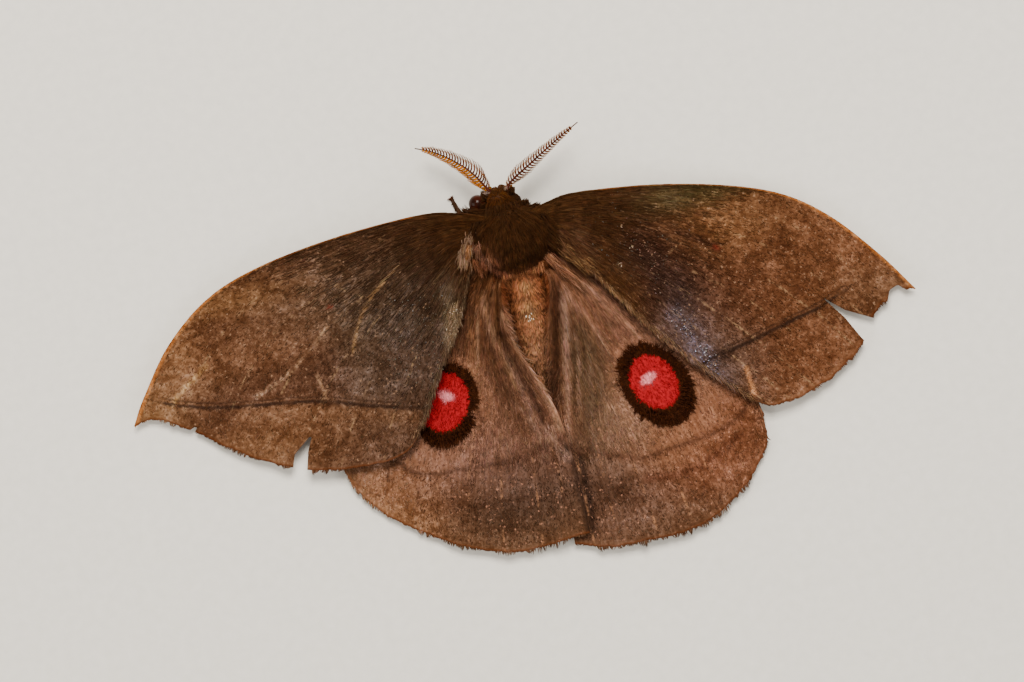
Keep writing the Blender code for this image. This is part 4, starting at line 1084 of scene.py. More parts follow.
def body_skin():
    """One closed skin over the whole body, inside the solids by the coat's depth."""
    shape = bmesh.new()
    for node in [*COAT_DEPTH, *LEG_NODES]:
        copy = bmesh.new()
        copy.from_mesh(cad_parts[node].data)
        bmesh.ops.remove_doubles(copy, verts=copy.verts, dist=1e-6)
        copy.transform(TO_SCENE.inverted())
        if node.startswith("palp"):
            bmesh.ops.scale(copy, verts=copy.verts, vec=(1.0, PALP_TUCK, 1.0),
                            space=Matrix.Translation((0.0, -PALP_ROOT_Y, 0.0)))
        copy.normal_update()
        grow = BRIDGE - COAT_DEPTH.get(node, LEG_COAT_DEPTH)
        for vert in copy.verts:
            vert.co += vert.normal * grow
        part = as_mesh("part", copy)
        shape.from_mesh(part)
        bpy.data.meshes.remove(part)
    for centre, radii in CORES:
        size = radii + Vector((BRIDGE, BRIDGE, BRIDGE))
        place = Matrix.Translation(centre) @ Matrix.Diagonal((*size, 1.0))
        bmesh.ops.create_uvsphere(shape, u_segments=48, v_segments=32, radius=1.0, matrix=place)
    source = in_scene("body_lump", as_mesh("body_lump", shape))
    melt = source.modifiers.new("melt", "REMESH")
    melt.mode = "VOXEL"
    melt.voxel_size = VOXEL
    bpy.context.view_layer.update()
    state = bpy.context.evaluated_depsgraph_get()
    melted = bpy.data.meshes.new_from_object(source.evaluated_get(state))
    bpy.data.objects.remove(source)
    skin = bmesh.new()
    skin.from_mesh(melted)
    bpy.data.meshes.remove(melted)
    for _ in range(SMOOTHINGS):
        bmesh.ops.smooth_vert(skin, verts=skin.verts, factor=0.5, use_axis_x=True, use_axis_y=True,
                              use_axis_z=True)
    skin.normal_update()
    for vert in skin.verts:
        vert.co -= vert.normal * BRIDGE
    skin.normal_update()
    return skin


skin = body_skin()
print("skin:", len(skin.faces), "faces")

# %% [markdown]
# ## Which part of the body a place is on
#
# Head, thorax, abdomen and legs differ in colour and in the length of their hair. The skin is one
# mesh without seams, so its parts are told apart by simple shapes round them. Skin and coat ask the
# same functions, and so carry the same markings.

# %% Which part of the body a place is on
def ellipsoid_distance(places, centre, radii):
    """The distance from a centre, which is 1 on the ellipsoid."""
    return np.linalg.norm((places - np.array(centre)) / np.array(radii), axis=-1)


WAIST_Y = -3.6
DARK_FUR = "#38200d"
# gold patches on the abdomen: centre and half size
GOLD_PATCHES = [((0.5, -5.9), (0.65, 0.6)), ((0.2, -8.3), (0.85, 1.1))]
RING_YS = [-8.65, -6.95]
PINK_SHOULDER, PINK_REACH = (-2.7, -1.7), (1.1, 1.0)


def body_parts(places):
    """Shares of head, thorax, abdomen and legs at places, as masks."""
    head = (ellipsoid_distance(places, HEAD_CENTRE, HEAD_RADII) < 1.3) & (places[:, 1] > 2.3)
    palps = (places[:, 1] > 4.55) & (places[:, 2] < 3.6)
    head = head | palps
    thorax = (ellipsoid_distance(places, THORAX_CENTRE, THORAX_RADII) < 1.12) & ~head
    centre_x, centre_z, radius = abdomen_at(places[:, 1])
    away = np.hypot(places[:, 0] - centre_x, places[:, 2] - centre_z)
    abdomen = (places[:, 1] < WAIST_Y) & (away < radius + 0.3) & ~thorax
    legs = ~(head | thorax | abdomen)
    return head, thorax, abdomen, legs


def body_tint(places):
    """The paint of the body: dark brown, with a red-brown, gold and pinkish abdomen."""
    x, y, z = places.T
    head, thorax, abdomen, legs = body_parts(places)
    tint = np.tile(paint(DARK_FUR), (len(places), 1))
    tint[legs] = paint("#46280f")
    tint = blend(tint, paint("#4a280b"), head * ramp(2.4, 4.4, y))
    belly = blend(paint("#925838"), paint("#96684a"), ramp(-7.5, -13.0, y))
    side = ramp(0.8, 2.0, np.abs(x - abdomen_at(y)[0]))
    belly = blend(belly, paint("#5c3018"), 0.6 * side)
    gold = sum(hump(x, gx, wide) * hump(y, gy, deep) for (gx, gy), (wide, deep) in GOLD_PATCHES)
    belly = blend(belly, paint("#9c744e"), 0.9 * np.clip(gold, 0, 1))
    rings = sum(hump(y, line, 0.14) for line in RING_YS)
    belly = blend(belly, paint("#2c140a"), 0.7 * rings)
    tint[abdomen] = belly[abdomen]
    tint = blend(tint, paint("#4a2f1a"), 0.5 * thorax * ramp(4.0, 2.6, z))
    tint = blend(tint, belly, 0.25 * (thorax & (z > 4)) * ramp(-2.4, -4.2, y))
    pink = hump(x, PINK_SHOULDER[0], PINK_REACH[0]) * hump(y, PINK_SHOULDER[1], PINK_REACH[1])
    return blend(tint, paint("#7c4e38"), pink * thorax)


skin_places = np.array([vert.co for vert in skin.verts])
for label, mask in zip(("head", "thorax", "abdomen", "legs"), body_parts(skin_places)):
    print(label, int(mask.sum()), "corners of the skin")

# %% [markdown]
# ## The finish of the skin
#
# Between the hairs an insect's skin is hard chitin, dark and faintly glossy, and here it is mostly
# seen as the shadow under the coat. It carries the same markings as the hair at half their
# brightness, partly the chitin's own darker colour and partly painted shade under the coat, with a
# fine stubble of hair sockets as bump.

# %% Chitin skin
# the skin's paint is halved: partly the chitin's own darker colour, partly painted shade under the coat
SKIN_SHADE = 0.5
material, add = new_material("chitin_skin")
tint = add("Attribute", attribute_name="tint")
place = add("TexCoord", out="Object")
sockets = add("TexVoronoi", {"Vector": place, "Scale": 1 / (0.16 * MM)})
uneven = add("TexNoise", {"Vector": place, "Scale": 1 / (0.8 * MM), "Detail": 3.0})
tone = add("ValToRGB", {0: uneven}, [(0.3, 0.65), (0.7, 1.3)])
colour = add("Mix", {0: 1.0, 6: tint, 7: tone}, out=2, data_type="RGBA", blend_type="MULTIPLY")
bump = add("Bump", {"Strength": 0.6, "Distance": 0.05 * MM, "Height": sockets})
shader = add("BsdfPrincipled", {"Base Color": colour, "Roughness": 0.6, "Normal": bump,
                                "Specular IOR Level": 0.12})
add("OutputMaterial", {"Surface": shader})

skin_tree = BVHTree.FromBMesh(skin)
skin.transform(TO_SCENE)
skin_mesh = as_mesh("body_skin", skin)
set_attribute(skin_mesh, "tint", body_tint(skin_places) * SKIN_SHADE)
body = in_scene("body_skin", skin_mesh, material)
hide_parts("head", "thorax", "abdomen", "palp_left", "palp_right", *LEG_NODES)
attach(body, "root")
print("skin triangles:", sum(len(face.vertices) - 2 for face in skin_mesh.polygons))

# %% [markdown]
# ## The coat of the body
#
# The thorax wears long hair that lies back over the wing roots, the head a shorter coat that
# parts at the antennae, the abdomen close scales, and the legs a short fringe. Roots are strewn
# evenly over the skin, and each tuft steps along the skin in the lie of the coat, so that it hugs
# the body instead of standing off it.

# %% Strewing roots and laying hair along the skin
SEED = 11
ROOTS = 60000
ROOT_DEPTH = 0.08


def strew(places, triangles, count, draw):
    """Even random places on a mesh, with the direction out of it."""
    a, b, c = (places[triangles[:, k]] for k in range(3))
    normals = np.cross(b - a, c - a)
    areas = np.linalg.norm(normals, axis=1)
    chosen = draw.choice(len(triangles), count, p=areas / areas.sum())
    s, t = draw.random((2, count))
    flip = s + t > 1
    s, t = np.where(flip, 1 - s, s)[:, None], np.where(flip, 1 - t, t)[:, None]
    spots = a[chosen] + (b - a)[chosen] * s + (c - a)[chosen] * t
    return spots, unit(normals[chosen])


def lay_hair(roots, normals, lies, lengths, heights, steps):
    """Paths that start in the skin and run along it in the lie of the coat."""
    shares = np.linspace(0, 1, steps)
    paths = np.empty((len(roots), steps, 3))
    for k, (root, normal, lie, length) in enumerate(zip(roots, normals, lies, lengths)):
        spot, up = Vector(root), Vector(normal)
        ahead = Vector(lie)
        paths[k, 0] = spot - up * ROOT_DEPTH
        for step in range(1, steps):
            stride = length * (shares[step] - shares[step - 1])
            ahead = (ahead - up * ahead.dot(up)).normalized()
            found, up_here, _, _ = skin_tree.find_nearest(spot + ahead * stride)
            spot, up = found, up_here
            paths[k, step] = spot + up * heights[k] * shares[step] ** 0.8
    return paths


def unwrap_body(places):
    """The place of each root on the skin's own unwrap: along the body, and around it."""
    centre_x, centre_z, _ = abdomen_at(np.minimum(places[:, 1], -3.4))
    around = np.arctan2(places[:, 2] - centre_z, places[:, 0] - centre_x) / (2 * math.pi) + 0.5
    along = (places[:, 1] + 25.0) / 32.0
    return np.clip(np.stack([around, along], axis=-1), 0, 1)


skin_mesh.calc_loop_triangles()
skin_triangles = np.array([triangle.vertices for triangle in skin_mesh.loop_triangles])
draw = np.random.default_rng(SEED)
roots, normals = strew(skin_places, skin_triangles, ROOTS, draw)
print("roots strewn over the skin:", len(roots))

# %% Coats of the thorax, head, abdomen and legs
DOME_RADIUS = 0.95
EYES = {"left": Vector((-2.75, 3.62, 4.3)), "right": Vector((0.85, 3.05, 3.95))}
COATS = {
    # name: share of roots kept, length, height over the skin, width, steps, tufts in a lock, slot
    "head": (1.0, (0.6, 1.3), 0.42, 0.1, 4, 7, "dark_fur"),
    "thorax": (0.56, (1.4, 2.6), 0.75, 0.13, 4, 8, "dark_fur"),
    "abdomen": (0.36, (0.5, 1.1), 0.16, 0.13, 4, 3, "belly_fur"),
    "legs": (0.45, (0.25, 0.55), 0.2, 0.06, 3, 2, "leg"),
}


def lie_of_coat(name, places, normals):
    """The direction in which hair lies on each part of the body."""
    x, y, z = places.T
    nx = normals[:, 0]
    ones = np.ones(len(places))
    if name == "head":
        forward = ramp(3.6, 4.4, y)
        return np.stack([0.6 * nx, 2 * forward - 1, -0.5 * ones], axis=-1)
    if name == "legs":
        return np.stack([np.sign(x) * 0.8, -0.3 * ones, -0.8 * ones], axis=-1)
    return np.stack([0.35 * nx, -ones, -0.25 * ones], axis=-1)


def clear_of_eyes(paths, room):
    """Whether a path keeps off both eyes."""
    clear = np.ones(len(paths), bool)
    for centre in EYES.values():
        clear &= np.linalg.norm(paths - np.array(centre), axis=-1).min(axis=1) > DOME_RADIUS + room
    return clear


def varied(tints, spread, draw):
    """Colours with a lighter or darker share for each tuft, and a slight drift in hue."""
    light = toned(np.exp(draw.normal(0, 1, len(tints)) * spread))
    return tints * light * (1 + draw.normal(0, 0.05, (len(tints), 3)))


for name, mask in zip(COATS, body_parts(roots)):
    share, length, height, width, steps, per_lock, slot = COATS[name]
    mask = mask & (draw.random(len(roots)) < share)
    places, outs = roots[mask], normals[mask]
    count = len(places)
    lies = lie_of_coat(name, places, outs) + draw.normal(0, 0.2, (count, 3))
    lengths = draw.uniform(*length, count)
    if name == "thorax":
        lengths = lengths * (1 - 0.6 * ramp(-1.0, -3.6, places[:, 1]))
    if name == "head":
        lengths = lengths * (1 - 0.5 * ramp(4.3, 4.9, places[:, 1]))
    heights = height * draw.uniform(0.2, 1.2, count)
    paths = gathered(lay_hair(places, outs, lies, lengths, heights, steps), per_lock, 0.55, draw)
    kept = (paths[:, :, 2].min(axis=1) > 0.03) & (clear_of_eyes(paths, 0.02) | (name != "head"))
    tints = varied(body_tint(places), 0.18, draw)
    widths = width * draw.uniform(0.7, 1.3, count)
    material = pale_hair if name == "abdomen" else dark_hair
    add_coat(name + "_coat", paths[kept], widths[kept], tints[kept], unwrap_body(places[kept]),
             material, ups=outs[kept])

# %% [markdown]
# ## Brows
#
# Hair hangs over the eyes like brows: the right eye is covered from above, and the left one only at
# its inner side. The tufts walk over the eye's dome in small steps, so they lie on it as a lid does.

# %% Brows over the eyes
BROWS = {
    "left": {"count": 420, "facing": (0.9, -0.35, 0.1), "limit": 0.4, "flow": (-0.3, -0.2, -0.9)},
    "right": {"count": 900, "facing": (-0.1, -0.35, 0.9), "limit": 0.0, "flow": (0.75, 0.45, -0.55)},
}


def brow(eye, count, facing, limit, flow, draw):
    """Hair that lies on the part of an eye's dome that faces a direction."""
    spots = unit(draw.normal(0, 1, (count * 6, 3)))
    spots = spots[spots @ unit(np.array(facing)) > limit][:count]
    lengths = draw.uniform(0.5, 1.0, len(spots))
    heights = draw.uniform(0.08, 0.26, len(spots))
    paths = np.empty((len(spots), 4, 3))
    flows = np.array(flow) + draw.normal(0, 0.22, (len(spots), 3))
    for step, share in enumerate(TUFT_STEPS.ravel()):
        reach = DOME_RADIUS - 0.05 + heights * share**0.6
        paths[:, step] = np.array(EYES[eye]) + spots * reach[:, None]
        along = flows - spots * (flows * spots).sum(axis=1, keepdims=True)
        spots = unit(spots + unit(along) * (lengths / 3 / DOME_RADIUS)[:, None])
    return paths


def dark_tufts(name, paths, width, draw):
    """A coat of loose dark tufts, each at its own place on the body's unwrap."""
    count = len(paths)
    tints = varied(np.tile(paint(DARK_FUR), (count, 1)), 0.2, draw)
    widths = width * draw.uniform(0.7, 1.3, count)
    add_coat(name, paths, widths, tints, unwrap_body(paths[:, 0]), dark_hair)


brows = [gathered(brow(eye, draw=draw, **settings), 5, 0.5, draw) for eye, settings in BROWS.items()]
dark_tufts("brow_coat", np.concatenate(brows), 0.1, draw)

# %% [markdown]
# ## Ruffs and shoulder tufts
#
# The longest hair stands at the joints of the body: a ruff round the neck and tufts on the
# shoulders, where the wings are hinged. A few sparse guides would look combed, so each tuft is
# drawn freely round a place, with a general direction, a spread and a length.

# %% Loose tufts at the joints
TUFTS = {
    # name: count, place, spread of the places, direction, length, fan, droop
    "ruff_left": (620, (-2.2, 2.2, 4.7), (1, 0.6, 0.9), (-0.8, 0.5, 0.1), (1, 2), 0.3, 0.5),
    "ruff_right": (620, (1.7, 1.6, 4.6), (1, 0.6, 0.9), (0.8, 0.2, 0.1), (0.8, 1.5), 0.22, 0.5),
    "collar_right": (420, (1.9, 2.3, 4.6), (0.6, 0.5, 0.7), (0.5, 0.75, 0), (0.3, 0.6), 0.15, 0.4),
    "sleeve_right": (420, (2.7, 1.75, 4.8), (0.8, 0.4, 0.5), (0.8, 0.45, 0), (0.3, 0.6), 0.12, 0.4),
    "face": (460, (-0.45, 4.3, 4.7), (1.15, 0.25, 0.6), (0, 1, 0.1), (0.3, 0.5), 0.2, 0.3),
    "temple_right": (200, (0.95, 4.05, 4.7), (0.4, 0.3, 0.4), (0.4, 0.9, 0), (0.35, 0.6), 0.2, 0.3),
    "temple_left": (260, (-1.55, 4.1, 4.8), (0.5, 0.35, 0.4), (-0.35, 0.9, 0), (0.4, 0.75), 0.25, 0.3),
    "under_wing_left": (380, (-4.2, -1.6, 4.9), (0.8, 1.2, 0.5), (-0.9, -0.35, 0), (1.3, 2.4), 0.2, 0.2),
    "under_wing_right": (320, (4.3, -1.4, 4.9), (0.8, 1, 0.5), (0.9, -0.35, 0), (1.3, 2.4), 0.2, 0.2),
    "shoulder_left": (500, (-3.2, 1.2, 5), (0.8, 0.9, 0.7), (-0.9, -0.05, 0.1), (1.2, 2.4), 0.3, 0.5),
    "shoulder_right": (500, (3.3, 0.8, 5), (0.8, 0.9, 0.7), (0.9, -0.2, 0.1), (1.2, 2.4), 0.3, 0.5),
    "lappet_left": (720, (-3.1, 0.5, 6.1), (0.7, 1.2, 0.6), (-0.45, -0.9, 0.05), (1.2, 2.2), 0.2, 0.35),
    "lappet_right": (800, (3.3, -0.2, 6.1), (0.7, 1.4, 0.6), (0.5, -0.85, 0.05), (1.6, 3), 0.2, 0.35),
    "rump": (400, (0.6, -3.2, 6.3), (1.4, 0.4, 0.5), (0, -1, 0), (0.3, 0.6), 0.25, 0.4),
    "neck": (700, (-0.3, 2.4, 6.1), (1.7, 0.6, 0.5), (0, -0.8, 0.25), (0.9, 1.8), 0.3, 0.6),
    "crown": (120, (-0.45, 4.1, 5.4), (0.6, 0.3, 0.2), (0, 0.8, 0.7), (0.3, 0.6), 0.3, 0.2),
    "leg_root": (340, (-3.9, 2.4, 3.4), (0.6, 0.6, 0.5), (-0.5, 0.7, -0.1), (0.5, 1), 0.25, 0.4),
}
STRAY = 1.6


def loose_tufts(count, place, spread, direction, length, fan, droop, draw):
    """Tufts that start round a place and spread in a general direction, drooping to their tips."""
    strewn = np.clip(draw.normal(0, 0.6, (count, 3)), -STRAY * 0.6, STRAY * 0.6)
    starts = np.array(place) + strewn * np.array(spread)
    fanned = np.clip(draw.normal(0, fan, (count, 3)), -STRAY * fan, STRAY * fan)
    heads = unit(unit(np.array(direction)) + fanned)
    lengths = draw.uniform(*length, count)[:, None, None]
    sink = np.array([0.0, 0.0, -droop])
    return starts[:, None] + (heads[:, None] * TUFT_STEPS + sink * TUFT_STEPS**2) * lengths


loose = [gathered(loose_tufts(*settings, draw), 7, 0.6, draw) for settings in TUFTS.values()]
loose = np.concatenate(loose)
loose = loose[clear_of_eyes(loose, 0.02) & (loose[:, :, 2].min(axis=1) > 0.05)]
dark_tufts("ruff_coat", loose, 0.12, draw)

# %% [markdown]
# ## Hair and scales on the wings
#
# A wing is not bare cloth. Its root is furred, long hair runs along the folds of the hind wing,
# and every field has scales that stand up a little. Each tuft starts in the sheet and runs
# outwards over it along a line of equal u, so the hair follows the veins as the real hair does.
# Neighbours share a tone through the same noise, which gives the drawn-out light and dark streaks.

# %% Hair that runs outwards over a wing
def hair_on_wing(wing, u, v, lengths, rises, sway, steps):
    """Paths that start in a wing's sheet and run outwards over it."""
    shares = np.linspace(0, 1, steps)
    reach = v[:, None] + (lengths / wing.span(u))[:, None] * shares
    over = np.where(shares > 0, 0.06 + rises[:, None] * shares, -0.03)
    return wing.at(u[:, None] + sway[:, None] * shares, np.minimum(reach, 0.995), over)


def off_tears(wing, paths):
    """Whether a path keeps off the holes in a wing."""
    whole = np.ones(len(paths), bool)
    for outline in TEARS.get(wing.name, []):
        for step in range(paths.shape[1]):
            whole &= ~inside_outline(paths[:, step, 0], paths[:, step, 1], outline)
    return whole


WING_HAIR = {
    # kind: list of (name, count, u range, farthest v, power, lengths, rise, width, steps, spread)
    "fore": [("root_hair", 4700, (0.0, 1.0), 0.55, 1.9, (2.4, 0.8), 0.2, 0.115, 4, 0.22),
             ("scales", 8600, (0.01, 0.99), 0.98, 0.8, (0.45, 0.3), 0.06, 0.12, 3, 0.28)],
    "hind": [("root_hair", 7300, (0.2, 0.99), 0.72, 0.9, (2.8, 0.7), 0.15, 0.094, 4, 0.2),
             ("scales", 7700, (0.02, 0.99), 0.98, 0.6, (0.45, 0.3), 0.06, 0.12, 3, 0.25)],
}
BROAD_STREAKS, FINE_STREAKS = 16.0, 50.0
STREAK_DEPTH = {"fore": 0.2, "hind": 0.33}
NEAR_SPOT, SPOT_HAIR = 1.45, 0.35


def dress_wing(wing, draw):
    """All coats of one wing, coloured by its own markings."""
    for name, count, us, far, power, length, rise, width, steps, spread in WING_HAIR[wing.kind]:
        u, v = draw.uniform(*us, count), far * draw.random(count) ** power
        lengths = np.interp(v, (0, far), length) * draw.uniform(0.6, 1.3, count)
        x, y = np.moveaxis(wing.flat(u, v), -1, 0)
        near_spot = spot_distance(wing, x, y) < NEAR_SPOT
        short = np.minimum(lengths, SPOT_HAIR * draw.uniform(0.7, 1.3, count))
        lengths = np.where(near_spot, short, lengths)
        sway = draw.normal(0, 0.005, count)
        paths = hair_on_wing(wing, u, v, lengths, rise * draw.uniform(0.3, 1.3, count), sway, steps)
        whole = off_tears(wing, paths)
        streak = cloud(u * BROAD_STREAKS, v * 2.5, 1.0, wing.seed + 5)
        streak = streak + 0.6 * cloud(u * FINE_STREAKS, v * 4, 1.0, wing.seed + 6)
        streak = np.where(near_spot, 0.0, STREAK_DEPTH[wing.kind] * streak)
        spreads = spread * (0.35 + 0.65 * mottling(wing, u, v))
        tints = varied(marked_tint(wing, u, v), spreads, draw) * toned(np.exp(streak))
        patches = np.stack([u, v], axis=-1)
        widths = width * draw.uniform(0.7, 1.3, count)
        material = pale_hair if wing.kind == "hind" else dark_hair
        add_coat(wing.name + "_" + name, paths[whole], widths[whole], tints[whole], patches[whole],
                 material)


def inner_curtain(wing, count, draw):
    """Hair at a hind wing's inner edge, which falls onto the abdomen and closes the gap beside it."""
    u, v = draw.uniform(0.9, 1.0, count), draw.uniform(0.02, 0.5, count)
    towards = 1 if wing.name.endswith("left") else -1
    starts = wing.at(u, v)
    heads = unit(np.array([0.5 * towards, -0.85, 0.05]) + draw.normal(0, 0.18, (count, 3)))
    lengths = (draw.uniform(0.8, 1.7, count) * (0.5 + 0.5 * ramp(0.0, 0.2, v)))[:, None, None]
    sink = np.array([0, 0, -0.35])
    paths = starts[:, None] + (heads[:, None] * TUFT_STEPS + sink * TUFT_STEPS**2) * lengths
    paths = gathered(paths, 3, 0.4, draw)
    tints = blend(wing_tint(wing, u, v), paint("#66341a"), 0.75 * ramp(0.3, 0.12, v))
    tints = varied(tints, 0.25, draw)
    add_coat(wing.name + "_curtain", paths, 0.1 * draw.uniform(0.7, 1.3, count), tints,
             np.stack([u, v], axis=-1), pale_hair)


SPOT_RIM_HAIRS = 850
# each rim of an eyespot: its centre and size, which way the hairs point, and their lengths
SPOT_RIMS = [("centre", "half", 1, (0.45, 1.1)), ("red_centre", "red_half", -1, (0.4, 0.8))]


def rim_hairs(wing, draw):
    """Short black hairs that cross both rims of an eyespot, so that neither is a clean line."""
    spot = EYESPOTS[wing.name]
    angle = math.radians(spot["turn"])
    paths = []
    for centre, half, outward, length in SPOT_RIMS:
        around = draw.uniform(0, 2 * math.pi, SPOT_RIM_HAIRS)
        along, aside = np.cos(around) * spot[half][0], np.sin(around) * spot[half][1]
        rim = np.stack([along * math.cos(angle) - aside * math.sin(angle),
                        along * math.sin(angle) + aside * math.cos(angle)], axis=-1)
        away = unit(unit(rim) * outward + draw.normal(0, 0.3, rim.shape) + (0.0, -0.2))
        lengths = draw.uniform(*length, SPOT_RIM_HAIRS)[:, None]
        starts = np.array(spot[centre]) + rim - away * lengths * draw.uniform(0.25, 1.3, lengths.shape)
        flat = starts[:, None] + (away * lengths)[:, None] * TUFT_STEPS
        x, y = np.moveaxis(flat, -1, 0)
        over = np.broadcast_to((-0.02, 0.2, 0.26, 0.26), x.shape)
        paths.append(np.stack([x, y, HEIGHTS[wing.name](x, y) + over], axis=-1))
    paths = gathered(np.concatenate(paths), 4, 0.6, draw)
    edge = wings[wing.name.replace("hind", "fore")].inner(np.linspace(0, 1, 60))
    edge_x = np.interp(-paths[:, :, 1], -edge[:, 1], np.abs(edge[:, 0]))
    whole = ~worn_off(paths[:, 0, 0], paths[:, 0, 1])
    paths = paths[(np.abs(paths[:, :, 0]) < edge_x - 0.1).all(axis=1) & whole]
    count = len(paths)
    tints = varied(np.tile(paint(SPOT_BLACK), (count, 1)), 0.35, draw)
    spread = np.clip(np.stack([0.5 + paths[:, 0, 0] / 50, -paths[:, 0, 1] / 40], axis=-1), 0, 1)
    add_coat(wing.name + "_eyespot_rim", paths, 0.1 * draw.uniform(0.6, 1.3, count), tints, spread,
             dark_hair)


CURTAIN_HAIRS, INNER_FRINGE_HAIRS = 1300, 1200
INNER_FRINGE = {"forewing_left": "#6a543e", "forewing_right": "#8a674a"}


def inner_fringe(wing, count, draw):
    """Pale hair along a forewing's inner edge, lying back and outwards over the hind wing."""
    u, v = 1 - 0.05 * draw.random(count) ** 1.5, draw.uniform(0.12, 0.97, count)
    ahead = unit(wing.at(u, v + 0.01) - wing.at(u, v - 0.01))
    back = unit(wing.at(u, v) - wing.at(u - 0.02, v))
    heads = unit(ahead * 0.85 + back * 0.35 + draw.normal(0, 0.12, (count, 3)))
    lengths = draw.uniform(0.6, 1.3, count)[:, None, None]
    lift = np.array([0.0, 0.0, 0.12]) * np.minimum(TUFT_STEPS * 3, 1)
    paths = wing.at(u, v)[:, None] + heads[:, None] * TUFT_STEPS * lengths + lift
    paths = gathered(paths, 4, 0.4, draw)
    share = 0.8 * draw.random(count) * ramp(0.1, 0.3, v)
    tints = blend(wing_tint(wing, u, v), paint(INNER_FRINGE[wing.name]), share)
    add_coat(wing.name + "_inner_fringe", paths, 0.08 * draw.uniform(0.6, 1.3, count),
             varied(tints, 0.25, draw), np.stack([u, v], axis=-1), pale_hair)


for wing in wings.values():
    dress_wing(wing, draw)
    if wing.kind == "hind":
        inner_curtain(wing, CURTAIN_HAIRS, draw)
        rim_hairs(wing, draw)
    else:
        inner_fringe(wing, INNER_FRINGE_HAIRS, draw)

# %% [markdown]
# ## The fringe
#
# Every margin ends in a row of long scales, worn short in places. They are tufts like the hair and
# point straight out of the edge, so that the outline ends softly and not in a cut line.

# %% Fringe on the margins
FRINGE_PER_MM = 16
FRINGE_LENGTH = {"fore": (0.2, 0.55), "hind": (0.3, 0.75)}


def add_fringe(wing, draw):
    """The short fringe of scales along a wing's margin, worn away at the tears."""
    t = np.linspace(0, 1, 200)
    rim = wing.flat(t, 0 * t + 1)
    count = int(np.linalg.norm(np.diff(rim, axis=0), axis=1).sum() * FRINGE_PER_MM)
    u = draw.uniform(0, 1, count)
    ends, inner = wing.at(u, 0 * u + 1), wing.at(u, 0 * u + 0.97)
    out = unit(unit(ends - inner) + draw.normal(0, 0.2, (count, 3)) * (1, 1, 0.4))
    worn = 0.6 + 0.6 * cloud(u * 30, 0 * u, 1.0, wing.seed + 9)
    lengths = draw.uniform(*FRINGE_LENGTH[wing.kind], count) * worn
    shares = np.linspace(-0.25, 1, 3)[None, :, None]
    paths = gathered(ends[:, None] + out[:, None] * lengths[:, None, None] * shares, 5, 0.6, draw)
    whole = off_tears(wing, paths)
    tints = varied(wing_tint(wing, u, 0 * u + 1), 0.35, draw)
    widths = 0.12 * draw.uniform(0.7, 1.3, whole.sum())
    patches = np.stack([u, 0 * u + 0.99], axis=-1)
    add_coat(wing.name + "_fringe", paths[whole], widths, tints[whole], patches[whole], dark_hair)


for wing in wings.values():
    add_fringe(wing, draw)

# %% [markdown]
# ## Pale tufts
#
# Where the wings are hinged the fur gives way to pinkish and tan tufts, and a few pale hairs stand
# at the antennae and where the hind wings lap. Each group is strewn along a short band from one
# place to another, and its colour wavers between dark and pale from tuft to tuft.

